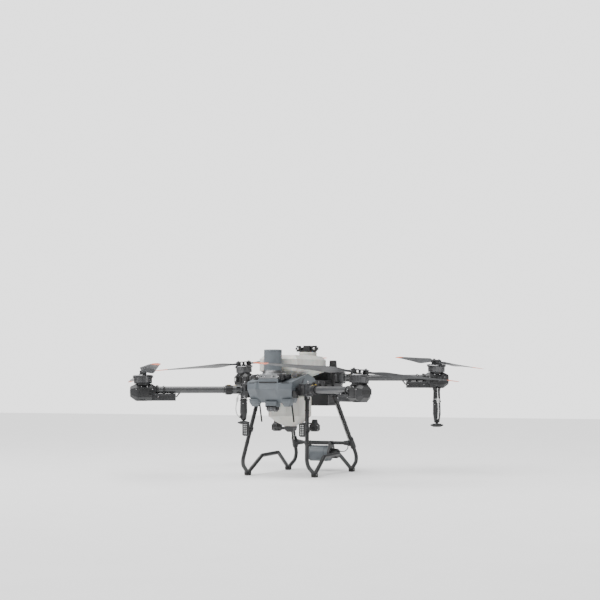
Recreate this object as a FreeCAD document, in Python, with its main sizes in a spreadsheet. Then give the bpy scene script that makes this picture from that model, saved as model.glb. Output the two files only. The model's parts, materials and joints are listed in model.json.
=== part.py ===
"""Agricultural spray drone: four folding arms, a liquid tank, and a bent-tube landing gear.

Millimetres.  The nose faces -Y, +Z is up, the feet stand on Z = 0 and the motors are centred on the origin.
Left is the machine's own left, +X.
"""
import FreeCAD, Part
import math
import os

import Sketcher
from FreeCAD import Placement, Rotation, Vector

doc = FreeCAD.newDocument("SprayDrone")
sheet = doc.addObject("Spreadsheet::Sheet", "Sizes")

SIZES = {
    # whole machine
    "motor_span_x": 1405, "motor_span_y": 1315, "front_plate_z": 605, "rear_plate_z": 681,
    "hinge_front_x": 212, "hinge_front_y": 272, "hinge_rear_x": 158, "hinge_rear_y": 360,
    # arms
    "tube_dia": 41, "tube_wall": 2.5, "tube_drop": 81, "clamp_dia": 52, "clamp_end": 78,
    "barrel_dia": 50, "barrel_tall": 54, "pin_dia": 14, "pin_gap": 0.05, "fit_gap": 0.4,
    "sleeve_dia": 56, "sleeve_long": 40, "sleeve_ribs": 10,
    "clevis_thick": 8, "clevis_gap": 0.5,
    # motor pods
    "pod_long": 150, "pod_wide": 92, "pod_tall": 102, "pod_bevel": 22, "pod_top": 45,
    "esc_long": 140, "esc_wide": 62, "esc_tall": 44, "esc_gap": 1,
    "motor_cant": 4.5, "bell_dia": 107, "bell_tall": 36, "bell_wall": 4, "plate_dia": 126, "plate_thick": 9,
    "shaft_dia": 16,
    # propellers
    "bolt_offset": 38, "bolt_dia": 10, "clamp_long": 108, "clamp_wide": 34, "clamp_plate": 5,
    "blade_gap": 20, "blade_long": 597, "blade_chord": 88, "blade_eye": 30,
    # central frame
    "rail_in": 92, "rail_out": 114, "rail_low": 505, "rail_high": 585, "rail_front": 280, "rail_rear": 490,
    "nose_box_half": 124, "nose_box_low": 456, "panel": 4,
    # tank
    "tank_top": 735, "tank_half": 126, "tank_front": 258, "tank_rear": 315, "tank_low": 300,
    "tank_belly": 105, "tank_neck": 86, "tank_wall": 4,
    "neck_dia": 110, "neck_top": 762, "neck_y": 190, "neck_wall": 9,
    # nose and radars
    "radar_dia": 108, "radar_foot": 640, "radar_top": 766, "radar_y": 317, "shell_wall": 4,
    "rear_radar_dia": 102, "rear_radar_long": 140,
    # landing gear
    "gear_tube": 24.5, "foot_half_x": 227, "foot_front_y": 206, "foot_rear_y": 373, "gear_top": 490,
    "gear_splay": 0.13, "crossbar_dia": 22, "crossbar_z": 179,
    # battery
    "battery_wide": 170, "battery_long": 145, "battery_tall": 220, "battery_low": 430, "battery_front": 325,
    # spray gear
    "boom_wide": 40, "disc_dia": 84, "disc_low": 283, "hose_dia": 8, "cable_dia": 6,
}

for row, (alias, value) in enumerate(SIZES.items(), start=1):
    sheet.set(f"A{row}", alias)
    sheet.set(f"B{row}", str(value))
    sheet.setAlias(f"B{row}", alias)
doc.recompute()


class Dim:
    """A size that knows its number and the sheet formula that gives it."""

    def __init__(self, value, text):
        self.value, self.text = float(value), text

    def __float__(self):
        return self.value

    def __neg__(self):
        return Dim(-self.value, f"(-{self.text})")

    def __add__(self, other):
        return Dim(self.value + float(other), f"({self.text} + {words(other)})")

    def __radd__(self, other):
        return Dim(other + self.value, f"({words(other)} + {self.text})")

    def __sub__(self, other):
        return Dim(self.value - float(other), f"({self.text} - {words(other)})")

    def __rsub__(self, other):
        return Dim(other - self.value, f"({words(other)} - {self.text})")

    def __mul__(self, other):
        return Dim(self.value * float(other), f"({self.text} * {words(other)})")

    __rmul__ = __mul__

    def __truediv__(self, other):
        return Dim(self.value / float(other), f"({self.text} / {words(other)})")


def words(number):
    return number.text if isinstance(number, Dim) else repr(number)


class Sizes:
    """Each sheet alias as an attribute."""

    def __getattr__(self, alias):
        return Dim(SIZES[alias], f"Sizes.{alias}")


S = Sizes()
X, Y, Z = Vector(1, 0, 0), Vector(0, 1, 0), Vector(0, 0, 1)
nodes = {}


def vec(x, y, z):
    return Vector(float(x), float(y), float(z))


def bind(obj, **dims):
    for prop, dim in dims.items():
        if isinstance(dim, Dim):
            obj.setExpression(prop, dim.text)
        else:
            setattr(obj, prop, dim)


def block(name, size, centre, turn=None):
    """A box about its centre."""
    box = doc.addObject("Part::Box", name)
    bind(box, Length=size[0], Width=size[1], Height=size[2])
    turn = turn or Rotation()
    half = vec(*size) * 0.5
    box.Placement = Placement(vec(*centre) - turn.multVec(half), turn)
    return box


def span(name, low, high):
    """A box from its lowest corner to its highest."""
    size = [b - a if isinstance(a, Dim) or isinstance(b, Dim) else float(b - a) for a, b in zip(low, high)]
    centre = [(float(a) + float(b)) / 2 for a, b in zip(low, high)]
    return block(name, size, centre)


def rod(name, radius, length, base, direction=Z):
    cylinder = doc.addObject("Part::Cylinder", name)
    bind(cylinder, Radius=radius, Height=length)
    cylinder.Placement = Placement(vec(*base), Rotation(Z, Vector(direction)))
    return cylinder


def cone(name, low_radius, high_radius, length, base, direction=Z):
    frustum = doc.addObject("Part::Cone", name)
    bind(frustum, Radius1=low_radius, Radius2=high_radius, Height=length)
    frustum.Placement = Placement(vec(*base), Rotation(Z, Vector(direction)))
    return frustum


def fuse(name, *shapes):
    if len(shapes) == 1:
        return shapes[0]
    union = doc.addObject("Part::MultiFuse", name)
    union.Shapes = list(shapes)
    union.Refine = True
    return union


def cut(name, base, *tools):
    result = doc.addObject("Part::Cut", name)
    result.Base = base
    result.Tool = fuse(name + "_tools", *tools)
    return result


def group(name, *shapes):
    """Separate solids that share one node."""
    bundle = doc.addObject("Part::Compound", name)
    bundle.Links = list(shapes)
    return bundle


def feature(name, shape):
    solid = doc.addObject("Part::Feature", name)
    solid.Shape = shape
    return solid


def node(label, obj, place=None):
    obj.Label = label
    if place is not None:
        obj.Placement = place.multiply(obj.Placement)
    nodes[label] = obj
    return obj


def origin_plane(body, role):
    return next(item for item in body.Origin.OriginFeatures if item.Role == role)


def outline(body, role, corners):
    """A closed sketch of straight lines whose corners are held by sheet formulas."""
    sketch = body.newObject("Sketcher::SketchObject", body.Name + "_outline")
    sketch.AttachmentSupport = (origin_plane(body, role), [""])
    sketch.MapMode = "FlatFace"
    points = [vec(x, y, 0) for x, y in corners]
    count = len(points)
    for i in range(count):
        sketch.addGeometry(Part.LineSegment(points[i], points[(i + 1) % count]), False)
    for i in range(count):
        sketch.addConstraint(Sketcher.Constraint("Coincident", i, 2, (i + 1) % count, 1))
    for i, corner in enumerate(corners):
        for kind, dim in zip(("DistanceX", "DistanceY"), corner):
            held = sketch.addConstraint(Sketcher.Constraint(kind, -1, 1, i, 1, float(dim)))
            if isinstance(dim, Dim):
                sketch.setExpression(f"Constraints[{held}]", dim.text)
    return sketch


def turned(name, corners):
    """A body of revolution about Z from (radius, height) corners."""
    body = doc.addObject("PartDesign::Body", name)
    sketch = outline(body, "XZ_Plane", corners)
    spin = body.newObject("PartDesign::Revolution", name + "_turn")
    spin.Profile = sketch
    spin.ReferenceAxis = (sketch, ["V_Axis"])
    spin.Angle = 360
    body.Tip = spin
    return body


def padded(name, role, corners, thick, back=False):
    """A body padded from an outline on an origin plane, centred on it."""
    body = doc.addObject("PartDesign::Body", name)
    sketch = outline(body, role, corners)
    pad = body.newObject("PartDesign::Pad", name + "_pad")
    pad.Profile = sketch
    bind(pad, Length=thick)
    pad.Midplane = True
    body.Tip = pad
    return body


def ring(points):
    return Part.makePolygon([Vector(*p) for p in points] + [Vector(*points[0])])


def facets(sections):
    """A flat-faced solid through closed outlines of equal corner count."""
    return Part.makeLoft([ring(points) for points in sections], True, True)


def rounded_path(points, radii):
    """Straight runs joined by tangent arcs; one radius for each inner point."""
    edges, start = [], points[0]
    for before, corner, after, radius in zip(points, points[1:], points[2:], radii):
        come = (corner - before).normalize()
        leave = (after - corner).normalize()
        turn = come.getAngle(leave)
        reach = radius * math.tan(turn / 2)
        entry, exit_ = corner - come * reach, corner + leave * reach
        inward = (leave - come).normalize()
        middle = corner + inward * (radius / math.cos(turn / 2) - radius)
        edges.append(Part.LineSegment(start, entry).toShape())
        edges.append(Part.Arc(entry, middle, exit_).toShape())
        start = exit_
    edges.append(Part.LineSegment(start, points[-1]).toShape())
    return Part.Wire(edges)


def bent_rod(points, radii, diameter):
    path = rounded_path(points, radii)
    rim = Part.Wire([Part.makeCircle(float(diameter) / 2, points[0], points[1] - points[0])])
    return path.makePipeShell([rim], True, True)


def cord_radii(points, share=0.45):
    """Each arc is as large as its two runs allow."""
    radii = []
    for before, corner, after in zip(points, points[1:], points[2:]):
        come, leave = corner - before, after - corner
        turn = come.getAngle(leave)
        radii.append(share * min(come.Length, leave.Length) / math.tan(turn / 2))
    return radii


# ---------------------------------------------------------------- arms, pods, rotors

CORNERS = {
    # name: (side along X, side along Y, blade line's rest angle from +X)
    "front_left": (1, -1, 50), "front_right": (-1, -1, 128),
    "rear_left": (1, 1, 133), "rear_right": (-1, 1, 50),
}


def corner_frame(side_x, side_y):
    """Hinge point, arm heading and arm length of one corner."""
    front = side_y < 0
    hinge_x = S.hinge_front_x if front else S.hinge_rear_x
    hinge_y = S.hinge_front_y if front else S.hinge_rear_y
    plate_z = S.front_plate_z if front else S.rear_plate_z
    hinge = vec(side_x * hinge_x, side_y * hinge_y, plate_z - S.tube_drop)
    motor = vec(side_x * S.motor_span_x / 2, side_y * S.motor_span_y / 2, hinge.z)
    reach = motor - hinge
    return hinge, math.degrees(math.atan2(reach.y, reach.x)), reach.Length


def octagon(x, half_wide, half_tall, bevel, centre_z):
    """A bevelled rectangle across the arm at distance x."""
    return [
        (x, -half_wide + bevel, centre_z - half_tall), (x, half_wide - bevel, centre_z - half_tall),
        (x, half_wide, centre_z - half_tall + bevel), (x, half_wide, centre_z + half_tall - bevel),
        (x, half_wide - bevel, centre_z + half_tall), (x, -half_wide + bevel, centre_z + half_tall),
        (x, -half_wide, centre_z + half_tall - bevel), (x, -half_wide, centre_z - half_tall + bevel),
    ]


def make_arm(name, length):
    """Tube, tube clamp and hinge barrel, along local +X from the hinge pin."""
    tube = rod(f"tube_{name}", S.tube_dia / 2, length - 45 - 40, (40, 0, 0), X)
    clamp = rod(f"clamp_{name}", S.clamp_dia / 2, S.clamp_end - 20, (20, 0, 0), X)
    barrel = rod(f"barrel_{name}", S.barrel_dia / 2, S.barrel_tall, (0, 0, -S.barrel_tall / 2))
    bore = rod(f"tube_bore_{name}", S.tube_dia / 2 - S.tube_wall, length, (60, 0, 0), X)
    pin_hole = rod(f"pin_hole_{name}", S.pin_dia / 2 + S.pin_gap, S.barrel_tall * 2, (0, 0, -S.barrel_tall))
    solid = fuse(f"arm_body_{name}", tube, clamp, barrel)
    return cut(f"arm_shape_{name}", solid, bore, pin_hole)


def make_sleeve(name):
    """Locking sleeve that turns on the tube just outboard of the clamp."""
    start = S.clamp_end + 3
    outer = rod(f"sleeve_outer_{name}", S.sleeve_dia / 2, S.sleeve_long, (start, 0, 0), X)
    shapes = [outer]
    ribs = int(SIZES["sleeve_ribs"])
    for i in range(ribs):
        turn = Rotation(X, 360 * i / ribs)
        crest = turn.multVec(vec(start + S.sleeve_long / 2, 0, S.sleeve_dia / 2))
        shapes.append(block(f"sleeve_rib_{name}_{i}", (S.sleeve_long * 0.7, 5, 5), crest, turn))
    hole = rod(f"sleeve_hole_{name}", S.tube_dia / 2 + S.fit_gap, S.sleeve_long * 2, (start - 10, 0, 0), X)
    return cut(f"sleeve_shape_{name}", fuse(f"sleeve_body_{name}", *shapes), hole)


def rotor_place(length, lean):
    """Local frame of a rotor: at its cooling plate, leaning by the motor cant."""
    return Placement(vec(length, 0, S.tube_drop), Rotation(X, -lean * SIZES["motor_cant"]))


def make_pod(name, length, lean):
    """Bevelled motor housing with its stator, and the speed controller under the tube beside it."""
    top = float(S.tube_drop - S.pod_top)
    half_tall, half_wide = float(S.pod_tall / 2), float(S.pod_wide / 2)
    centre = top - half_tall
    bevel, half_long = float(S.pod_bevel), float(S.pod_long / 2)
    shell = feature(f"pod_shell_{name}", facets([
        octagon(length - half_long, half_wide * 0.6, half_tall * 0.55, bevel * 0.5, centre + 8),
        octagon(length - half_long * 0.68, half_wide, half_tall, bevel, centre),
        octagon(length + half_long * 0.55, half_wide, half_tall, bevel, centre),
        octagon(length + half_long, half_wide * 0.62, half_tall * 0.6, bevel * 0.6, centre + 4),
    ]))
    place = rotor_place(length, lean)
    below_bell = -(S.plate_thick / 2 + S.bell_tall)
    stator = turned(f"stator_{name}", [
        (S.shaft_dia / 2 + S.pin_gap, below_bell - 14), (S.bell_dia / 2 - 12, below_bell - 14),
        (S.bell_dia / 2 - 12, below_bell - 2), (S.bell_dia / 2 - S.bell_wall - 3, below_bell - 2),
        (S.bell_dia / 2 - S.bell_wall - 3, below_bell + S.bell_tall - S.bell_wall - 4),
        (S.shaft_dia / 2 + S.pin_gap, below_bell + S.bell_tall - S.bell_wall - 4),
    ])
    stator.Placement = place
    shaft_room = rod(f"shaft_room_{name}", S.shaft_dia / 2 + 3, 60,
                     place.multVec(vec(0, 0, below_bell - 14 - 20)),
                     place.Rotation.multVec(Z))
    socket = rod(f"pod_socket_{name}", S.tube_dia / 2 + S.pin_gap, 80, (length - 45 - 79, 0, 0), X)
    notch = block(f"pod_notch_{name}", (26, S.pod_wide * 2, 16), (length + 6, 0, centre - half_tall))
    window = block(f"pod_window_{name}", (30, 8, 34), (length - 34, -lean * half_wide, centre + 2))
    window_far = block(f"pod_window_far_{name}", (30, 8, 34), (length - 34, lean * half_wide, centre + 2))
    carved = cut(f"pod_carved_{name}", shell, socket, notch, window, window_far, shaft_room)
    light = block(f"pod_port_{name}", (28, 20, 34), (length + 10, lean * (half_wide + 8), centre + 6))
    housing = fuse(f"pod_housing_{name}", carved, stator, light)
    esc_centre = length - half_long * 0.68 - float(S.esc_long) / 2 - 4
    esc_z = -float(S.tube_dia) / 2 - float(S.esc_gap) - float(S.esc_tall) / 2
    esc = block(f"esc_case_{name}", (S.esc_long, S.esc_wide, S.esc_tall), (esc_centre, 0, esc_z))
    esc_fins = [
        block(f"esc_slot_{name}_{i}", (S.esc_long * 0.62, 3, 8),
              (esc_centre - 12, y, esc_z - float(S.esc_tall) / 2))
        for i, y in enumerate((-20, -10, 0, 10, 20))
    ]
    saddle = [
        span(f"esc_saddle_{name}_{i}", (esc_centre + x - 8, -18, -float(S.tube_dia) / 2 - 4),
             (esc_centre + x + 8, 18, -float(S.tube_dia) / 2 + 6))
        for i, x in enumerate((-50, 50))
    ]
    controller = cut(f"esc_cut_{name}", fuse(f"esc_full_{name}", esc, *saddle), *esc_fins,
                     rod(f"esc_room_{name}", S.tube_dia / 2 + S.pin_gap, S.esc_long * 2,
                         (esc_centre - 140, 0, 0), X))
    return group(f"pod_shape_{name}", housing, controller)


def make_bell(name):
    """Outer-runner bell under a wide cooling plate, with its shaft; Z = 0 is the plate's middle."""
    plate_low, plate_high = -S.plate_thick / 2, S.plate_thick / 2
    bell_low = plate_low - S.bell_tall
    inner = S.bell_dia / 2 - S.bell_wall
    return turned(f"bell_{name}", [
        (0, bell_low - 10), (S.shaft_dia / 2, bell_low - 10), (S.shaft_dia / 2, plate_low - S.bell_wall),
        (inner, plate_low - S.bell_wall), (inner, bell_low), (S.bell_dia / 2, bell_low),
        (S.bell_dia / 2, plate_low), (S.plate_dia / 2 - 6, plate_low), (S.plate_dia / 2, 0),
        (S.plate_dia / 2 - 3, plate_high), (0, plate_high),
    ])


def make_clamp(name):
    """Upper and lower clamp plates with a windowed web between the two blade bolts."""
    low = float(S.plate_thick / 2)
    gap_low = low + float(S.clamp_plate)
    gap_high = gap_low + float(S.blade_gap)
    half = S.clamp_long / 2
    side = S.clamp_wide / 2
    plate = [(-half, -side * 0.6), (-half + 12, -side), (half - 12, -side), (half, -side * 0.6),
             (half, side * 0.6), (half - 12, side), (-half + 12, side), (-half, side * 0.6)]
    lower = padded(f"clamp_low_{name}", "XY_Plane", plate, S.clamp_plate)
    lower.Placement = Placement(vec(0, 0, low + float(S.clamp_plate) / 2), Rotation())
    upper = padded(f"clamp_high_{name}", "XY_Plane", plate, S.clamp_plate)
    upper.Placement = Placement(vec(0, 0, gap_high + float(S.clamp_plate) / 2), Rotation())
    posts = [rod(f"clamp_post_{name}_{i}", S.bolt_dia / 2, S.blade_gap, (s * S.bolt_offset, 0, gap_low))
             for i, s in enumerate((-1, 1))]
    heads = [rod(f"clamp_head_{name}_{i}", S.bolt_dia * 0.9, 4,
                 (s * S.bolt_offset, 0, gap_high + float(S.clamp_plate)))
             for i, s in enumerate((-1, 1))]
    web = rod(f"clamp_web_{name}", 8, S.blade_gap, (0, 0, gap_low))
    return fuse(f"clamp_shape_{name}", lower, upper, web, *posts, *heads)


BLADE_STATIONS = [
    # share of the blade's length, chord share, thickness, twist in degrees, chord centre ahead of the bolt line
    (0.02, 0.29, 15.0, 0, 0.0), (0.10, 0.48, 13.5, 16, 1.0), (0.22, 0.93, 11.0, 22, 6.0),
    (0.34, 1.00, 9.0, 18, 8.0), (0.55, 0.88, 7.2, 13, 6.0), (0.76, 0.70, 5.8, 10, 2.0),
    (0.92, 0.52, 4.4, 8, -5.0), (1.00, 0.26, 2.6, 7, -16.0),
]


def blade_section(x, chord, thick, twist, ahead, sense):
    """A closed smooth wing section across the blade at distance x from its bolt."""
    shape = [(0.40, 0.0), (0.22, 0.42), (-0.05, 0.50), (-0.35, 0.28),
             (-0.60, 0.02), (-0.35, -0.20), (-0.05, -0.38), (0.22, -0.34)]
    angle = math.radians(twist)
    points = []
    for y, z in shape:
        y, z = y * chord + ahead, z * thick
        tilted = (y * math.cos(angle) - z * math.sin(angle), y * math.sin(angle) + z * math.cos(angle))
        points.append(Vector(x, sense * tilted[0], tilted[1]))
    curve = Part.BSplineCurve()
    curve.interpolate(points, PeriodicFlag=True)
    return Part.Wire([curve.toShape()])


def make_blade(name, sense):
    """One folding blade, its bolt eye at the local origin and its tip along +X."""
    length, chord = float(S.blade_long), float(S.blade_chord)
    wires = [blade_section(share * length, width * chord, thick, twist, ahead, sense)
             for share, width, thick, twist, ahead in BLADE_STATIONS]
    wing = feature(f"wing_{name}", Part.makeLoft(wires, True, False))
    tall = S.blade_gap - S.fit_gap * 2
    eye = rod(f"eye_{name}", S.blade_eye / 2, tall, (0, 0, -tall / 2))
    hole = rod(f"eye_hole_{name}", S.bolt_dia / 2 + S.pin_gap, S.blade_gap * 2, (0, 0, -S.blade_gap))
    return cut(f"blade_shape_{name}", fuse(f"blade_body_{name}", wing, eye), hole)


def make_spray_boom(name, length, lean):
    """Drop tube, motor housing and fixed skirt under a rear pod; local +X is along the arm."""
    pod_low = float(S.tube_drop - S.pod_top - S.pod_tall)
    ground = float(S.rear_plate_z - S.tube_drop)
    disc_top = float(S.disc_low) - ground + 22
    wide = float(S.boom_wide)
    foot = disc_top + 14
    mid = foot + 46

    def level(z, half_x, half_y):
        return [(length + a * half_x, b * half_y, z) for a, b in
                ((-1, -0.5), (-0.5, -1), (0.5, -1), (1, -0.5), (1, 0.5), (0.5, 1), (-0.5, 1), (-1, 0.5))]

    column = feature(f"boom_column_{name}", facets([
        level(foot, wide * 0.42, wide * 0.42), level(mid, wide * 0.60, wide * 0.58),
        level(mid + 60, wide * 0.58, wide * 0.54), level(pod_low - 22, wide * 0.52, wide * 0.46),
        level(pod_low, wide * 0.62, wide * 0.60),
    ]))
    spindle = rod(f"boom_spindle_{name}", 9, foot - disc_top, (length, 0, disc_top + 2))
    shaft_hole = rod(f"boom_shaft_hole_{name}", 4 + S.pin_gap, 24, (length, 0, disc_top))
    elbow = rod(f"boom_elbow_{name}", 9, 22, (length, lean * wide * 0.30, foot + 10), Vector(0, lean, 0.35))
    port = block(f"boom_port_{name}", (22, 16, 26), (length, lean * wide * 0.62, pod_low - 36))
    return cut(f"boom_shape_{name}", fuse(f"boom_full_{name}", column, spindle, elbow, port), shaft_hole)


def make_spray_disc(name, length):
    """Spinning atomiser disc below the boom."""
    ground = float(S.rear_plate_z - S.tube_drop)
    low = S.disc_low - ground
    half = S.disc_dia / 2
    disc = turned(f"disc_turned_{name}", [
        (0, low), (half * 0.55, low), (half, low + 8), (half, low + 13), (half * 0.80, low + 17),
        (12, low + 23), (4, low + 23), (4, low + 44), (0, low + 44),
    ])
    disc.Placement = Placement(vec(length, 0, 0), Rotation())
    return disc


def make_spray_line(name, length, lean):
    """Clear hose loop to the boom's elbow and the black cable above it."""
    pod_low = float(S.tube_drop - S.pod_top - S.pod_tall)
    ground = float(S.rear_plate_z - S.tube_drop)
    foot = float(S.disc_low) - ground + 36
    out = lean * float(S.boom_wide)
    top = vec(length, out * 0.82, pod_low + 0.5)
    coupler_high = vec(length, out * 1.28, pod_low - 66)
    coupler_low = vec(length, out * 1.40, pod_low - 96)
    cable_path = [top, vec(length, out * 0.95, pod_low - 34), coupler_high]
    cable = feature(f"line_cable_{name}", bent_rod(cable_path, cord_radii(cable_path), S.cable_dia))
    coupler = rod(f"line_coupler_{name}", 8, (coupler_low - coupler_high).Length, coupler_high,
                  coupler_low - coupler_high)
    mouth = vec(0, lean, 0.35).normalize()
    end = vec(length, out * 0.30, foot + 10) + mouth * 22.2
    hose_path = [coupler_low, vec(length, out * 1.62, pod_low - 128), vec(length, out * 1.62, foot + 58),
                 end + mouth * 20, end]
    hose = feature(f"line_hose_{name}", bent_rod(hose_path, cord_radii(hose_path), S.hose_dia))
    return group(f"line_shape_{name}", cable, coupler, hose)


for corner, (side_x, side_y, blade_line) in CORNERS.items():
    hinge, heading, arm_length = corner_frame(side_x, side_y)
    lean = -side_x * side_y
    here = Placement(hinge, Rotation(Z, heading))
    node(f"arm_{corner}", make_arm(corner, arm_length), here)
    node(f"lock_sleeve_{corner}", make_sleeve(corner), here)
    node(f"motor_pod_{corner}", make_pod(corner, arm_length, lean), here)
    rotor = here.multiply(rotor_place(arm_length, lean)).multiply(Placement(Vector(),
                                                                            Rotation(Z,
                                                                                     blade_line - heading)))
    node(f"motor_bell_{corner}", make_bell(corner), rotor)
    node(f"blade_clamp_{corner}", make_clamp(corner), rotor)
    blade_z = float(S.plate_thick / 2 + S.clamp_plate + S.blade_gap / 2)
    for tag, turn in (("a", 0), ("b", 180)):
        bolt = Placement(Vector(), Rotation(Z, turn)).multiply(Placement(vec(S.bolt_offset, 0, blade_z),
                                                                         Rotation()))
        node(f"blade_{tag}_{corner}", make_blade(f"{tag}_{corner}", lean), rotor.multiply(bolt))
    if side_y > 0:
        node(f"spray_boom_{corner}", make_spray_boom(corner, arm_length, lean), here)
        node(f"spray_disc_{corner}", make_spray_disc(corner, arm_length), here)
        node(f"spray_line_{corner}", make_spray_line(corner, arm_length, lean), here)

# ---------------------------------------------------------------- hinge brackets and pins

brackets, pins = [], []
for corner, (side_x, side_y, _) in CORNERS.items():
    hinge, _, _ = corner_frame(side_x, side_y)
    front = side_y < 0
    inner = S.nose_box_half if front else S.rail_out
    plate_in = float(S.hinge_front_x if front else S.hinge_rear_x) - float(S.barrel_dia) / 2 - 17
    ear_low = S.barrel_tall / 2 + S.clevis_gap
    shapes = [block(f"bracket_web_{corner}", (8, 70, S.barrel_tall + S.clevis_thick * 2 + S.clevis_gap * 2),
                    (side_x * (plate_in + 4), hinge.y, hinge.z))]
    for tag, sign in (("top", 1), ("low", -1)):
        ear_z = hinge.z + sign * float(ear_low + S.clevis_thick / 2)
        reach = abs(hinge.x) - plate_in
        shapes.append(block(f"bracket_ear_{corner}_{tag}", (reach, S.barrel_dia + 8, S.clevis_thick),
                            (side_x * (plate_in + reach / 2), hinge.y, ear_z)))
        shapes.append(rod(f"bracket_round_{corner}_{tag}", S.barrel_dia / 2 + 4, S.clevis_thick,
                          (hinge.x, hinge.y, ear_z - float(S.clevis_thick) / 2)))
    if front:
        root_low, root_high = 497, 533
    else:
        root_low, root_high = 520, S.rail_high
    inner_x, outer_x = float(inner), plate_in + 8
    shapes.append(block(f"bracket_root_{corner}", (outer_x - inner_x, 70, root_high - root_low),
                        (side_x * (inner_x + outer_x) / 2, hinge.y,
                         (float(root_low) + float(root_high)) / 2)))
    tall = float(ear_low + S.clevis_thick) * 2
    hole = rod(f"bracket_hole_{corner}", S.pin_dia / 2 + S.pin_gap, tall * 2,
               (hinge.x, hinge.y, hinge.z - tall))
    brackets.append(cut(f"bracket_{corner}", fuse(f"bracket_full_{corner}", *shapes), hole))
    shank = rod(f"pin_shank_{corner}", S.pin_dia / 2, tall + 6, (hinge.x, hinge.y, hinge.z - tall / 2 - 3))
    heads = [rod(f"pin_head_{corner}_{tag}", S.pin_dia * 0.8, 5, (hinge.x, hinge.y, z)) for tag, z in
             (("top", hinge.z + tall / 2 + 0.3), ("low", hinge.z - tall / 2 - 5.3))]
    pins.append(fuse(f"pin_{corner}", shank, *heads))
node("arm_hinge_brackets", group("brackets_all", *brackets))
node("arm_hinge_pins", group("pins_all", *pins))

# ---------------------------------------------------------------- central frame

LEG_FRONT_Y, LEG_REAR_Y, LEG_X = -178, 241, 163
MOUNT_LOW, MOUNT_HIGH = 592, 616
POST_X, POST_HALF, POST_FRONT, POST_REAR = 48, 12, -318, -284
BOX_FRONT, BOX_REAR = -322, -262


def frame_shapes():
    shapes = []
    for side in (-1, 1):
        rail = (S.rail_out - S.rail_in, S.rail_rear + S.rail_front, S.rail_high - S.rail_low)
        centre = (side * (S.rail_out + S.rail_in) / 2, (S.rail_rear - S.rail_front) / 2,
                  (S.rail_high + S.rail_low) / 2)
        shapes.append(block(f"rail_{side}", rail, centre))
        shapes.append(block(f"outrigger_{side}", (S.nose_box_half - S.rail_in, 70, 38),
                            (side * (S.nose_box_half + S.rail_in) / 2, -S.hinge_front_y, 516)))
        for tag, y in (("front", LEG_FRONT_Y), ("rear", LEG_REAR_Y)):
            beam_in, beam_out = S.rail_in + 8, LEG_X + 18
            shapes.append(block(f"leg_beam_{tag}_{side}", (beam_out - beam_in, 38, 40),
                                (side * (beam_in + beam_out) / 2, y, S.gear_top + 20)))
    wide = S.rail_in * 2
    for tag, y, low in (("front", -256, S.rail_low), ("mid", 309, 420), ("rear", 483, 420)):
        shapes.append(block(f"cross_{tag}", (wide, 14, S.rail_high - low),
                            (0, y, (float(S.rail_high) + float(low)) / 2)))
    for side in (-1, 1):
        shapes.append(span(f"mount_post_{side}", (side * POST_X - POST_HALF, POST_FRONT, 500),
                           (side * POST_X + POST_HALF, POST_REAR, MOUNT_LOW)))
    shapes.append(span("battery_tray", (-S.rail_in, 302, 420), (S.rail_in, 490, S.battery_low)))
    return shapes


nose_box = cut(
    "nose_box",
    span("nose_box_outer", (-S.nose_box_half, BOX_FRONT, S.nose_box_low), (S.nose_box_half, BOX_REAR, 508)),
    span("nose_box_inner", (-S.nose_box_half + S.panel, BOX_FRONT + S.panel, S.nose_box_low + S.panel),
         (S.nose_box_half - S.panel, BOX_REAR - S.panel, 508 - S.panel)),
)
lightening = [rod(f"rail_window_{i}", 24, 400, (-200, y, 545), X) for i,
              y in enumerate((-150, -60, 30, 120, 210))]
node("centre_frame", cut("frame_shape", fuse("frame_full", nose_box, *frame_shapes()), *lightening))
node("flight_controller", fuse(
    "controller_shape",
    span("controller_case", (-60, -311, S.nose_box_low + S.panel), (60, -272, S.nose_box_low + S.panel + 26)),
    span("controller_plug", (-30, -316, S.nose_box_low + S.panel + 6),
         (30, -311, S.nose_box_low + S.panel + 18)),
))

# ---------------------------------------------------------------- nose shell, radar and sensors

# height; then (y, half width) of the side corner, the ridge crest and the edge of the sunk centre panel
NOSE_LEVELS = [
    (446, (-326, 128), (-334, 84), (-326, 56)), (462, (-340, 137), (-350, 79), (-338, 52)),
    (529, (-366, 148), (-403, 74), (-391, 54)), (568, (-364, 148), (-394, 74), (-384, 64)),
    (640, (-350, 146), (-372, 72), (-364, 62)),
]
NOSE_BACK = -262
DECK_FRONT_Y, DECK_FRONT_Z, DECK_SLOPE = -393, 564, 0.229
LOBE_X, LOBE_Y = 107, -339


def deck_z(y):
    """Height of the sloping top deck."""
    return DECK_FRONT_Z + DECK_SLOPE * (y - DECK_FRONT_Y)


def above_deck(inset):
    """Everything over the top deck, whose plane is lowered by a wall."""
    tilt = Rotation(X, math.degrees(math.atan(DECK_SLOPE)))
    lift = tilt.multVec(Vector(0, 0, 200 - inset))
    return block(f"above_deck_{inset}", (600, 900, 400), Vector(0, DECK_FRONT_Y, DECK_FRONT_Z) + lift, tilt)


def nose_solid(inset):
    """The nose as a stack of eight-sided levels under the deck: two ridges stand beside a sunk centre panel."""
    levels = []
    for z, corner, crest, sunk in NOSE_LEVELS:
        rise = z + (inset if z == NOSE_LEVELS[0][0] else 0)
        front = [(-corner[1] + inset, corner[0] + inset), (-crest[1], crest[0] + inset),
                 (-sunk[1], sunk[0] + inset),
                 (sunk[1], sunk[0] + inset), (crest[1], crest[0] + inset),
                 (corner[1] - inset, corner[0] + inset)]
        back = NOSE_BACK if inset == 0 else NOSE_BACK + 8
        rear = [(corner[1] - inset, back), (-corner[1] + inset, back)]
        levels.append([(x, y, rise) for x, y in front + rear])
    return cut(f"nose_stack_{inset}", feature(f"nose_levels_{inset}", facets(levels)), above_deck(inset))


def cheek_x(y):
    """The cheeks widen a little towards the rear."""
    return 148 + 0.05 * (y + 364)


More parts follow.
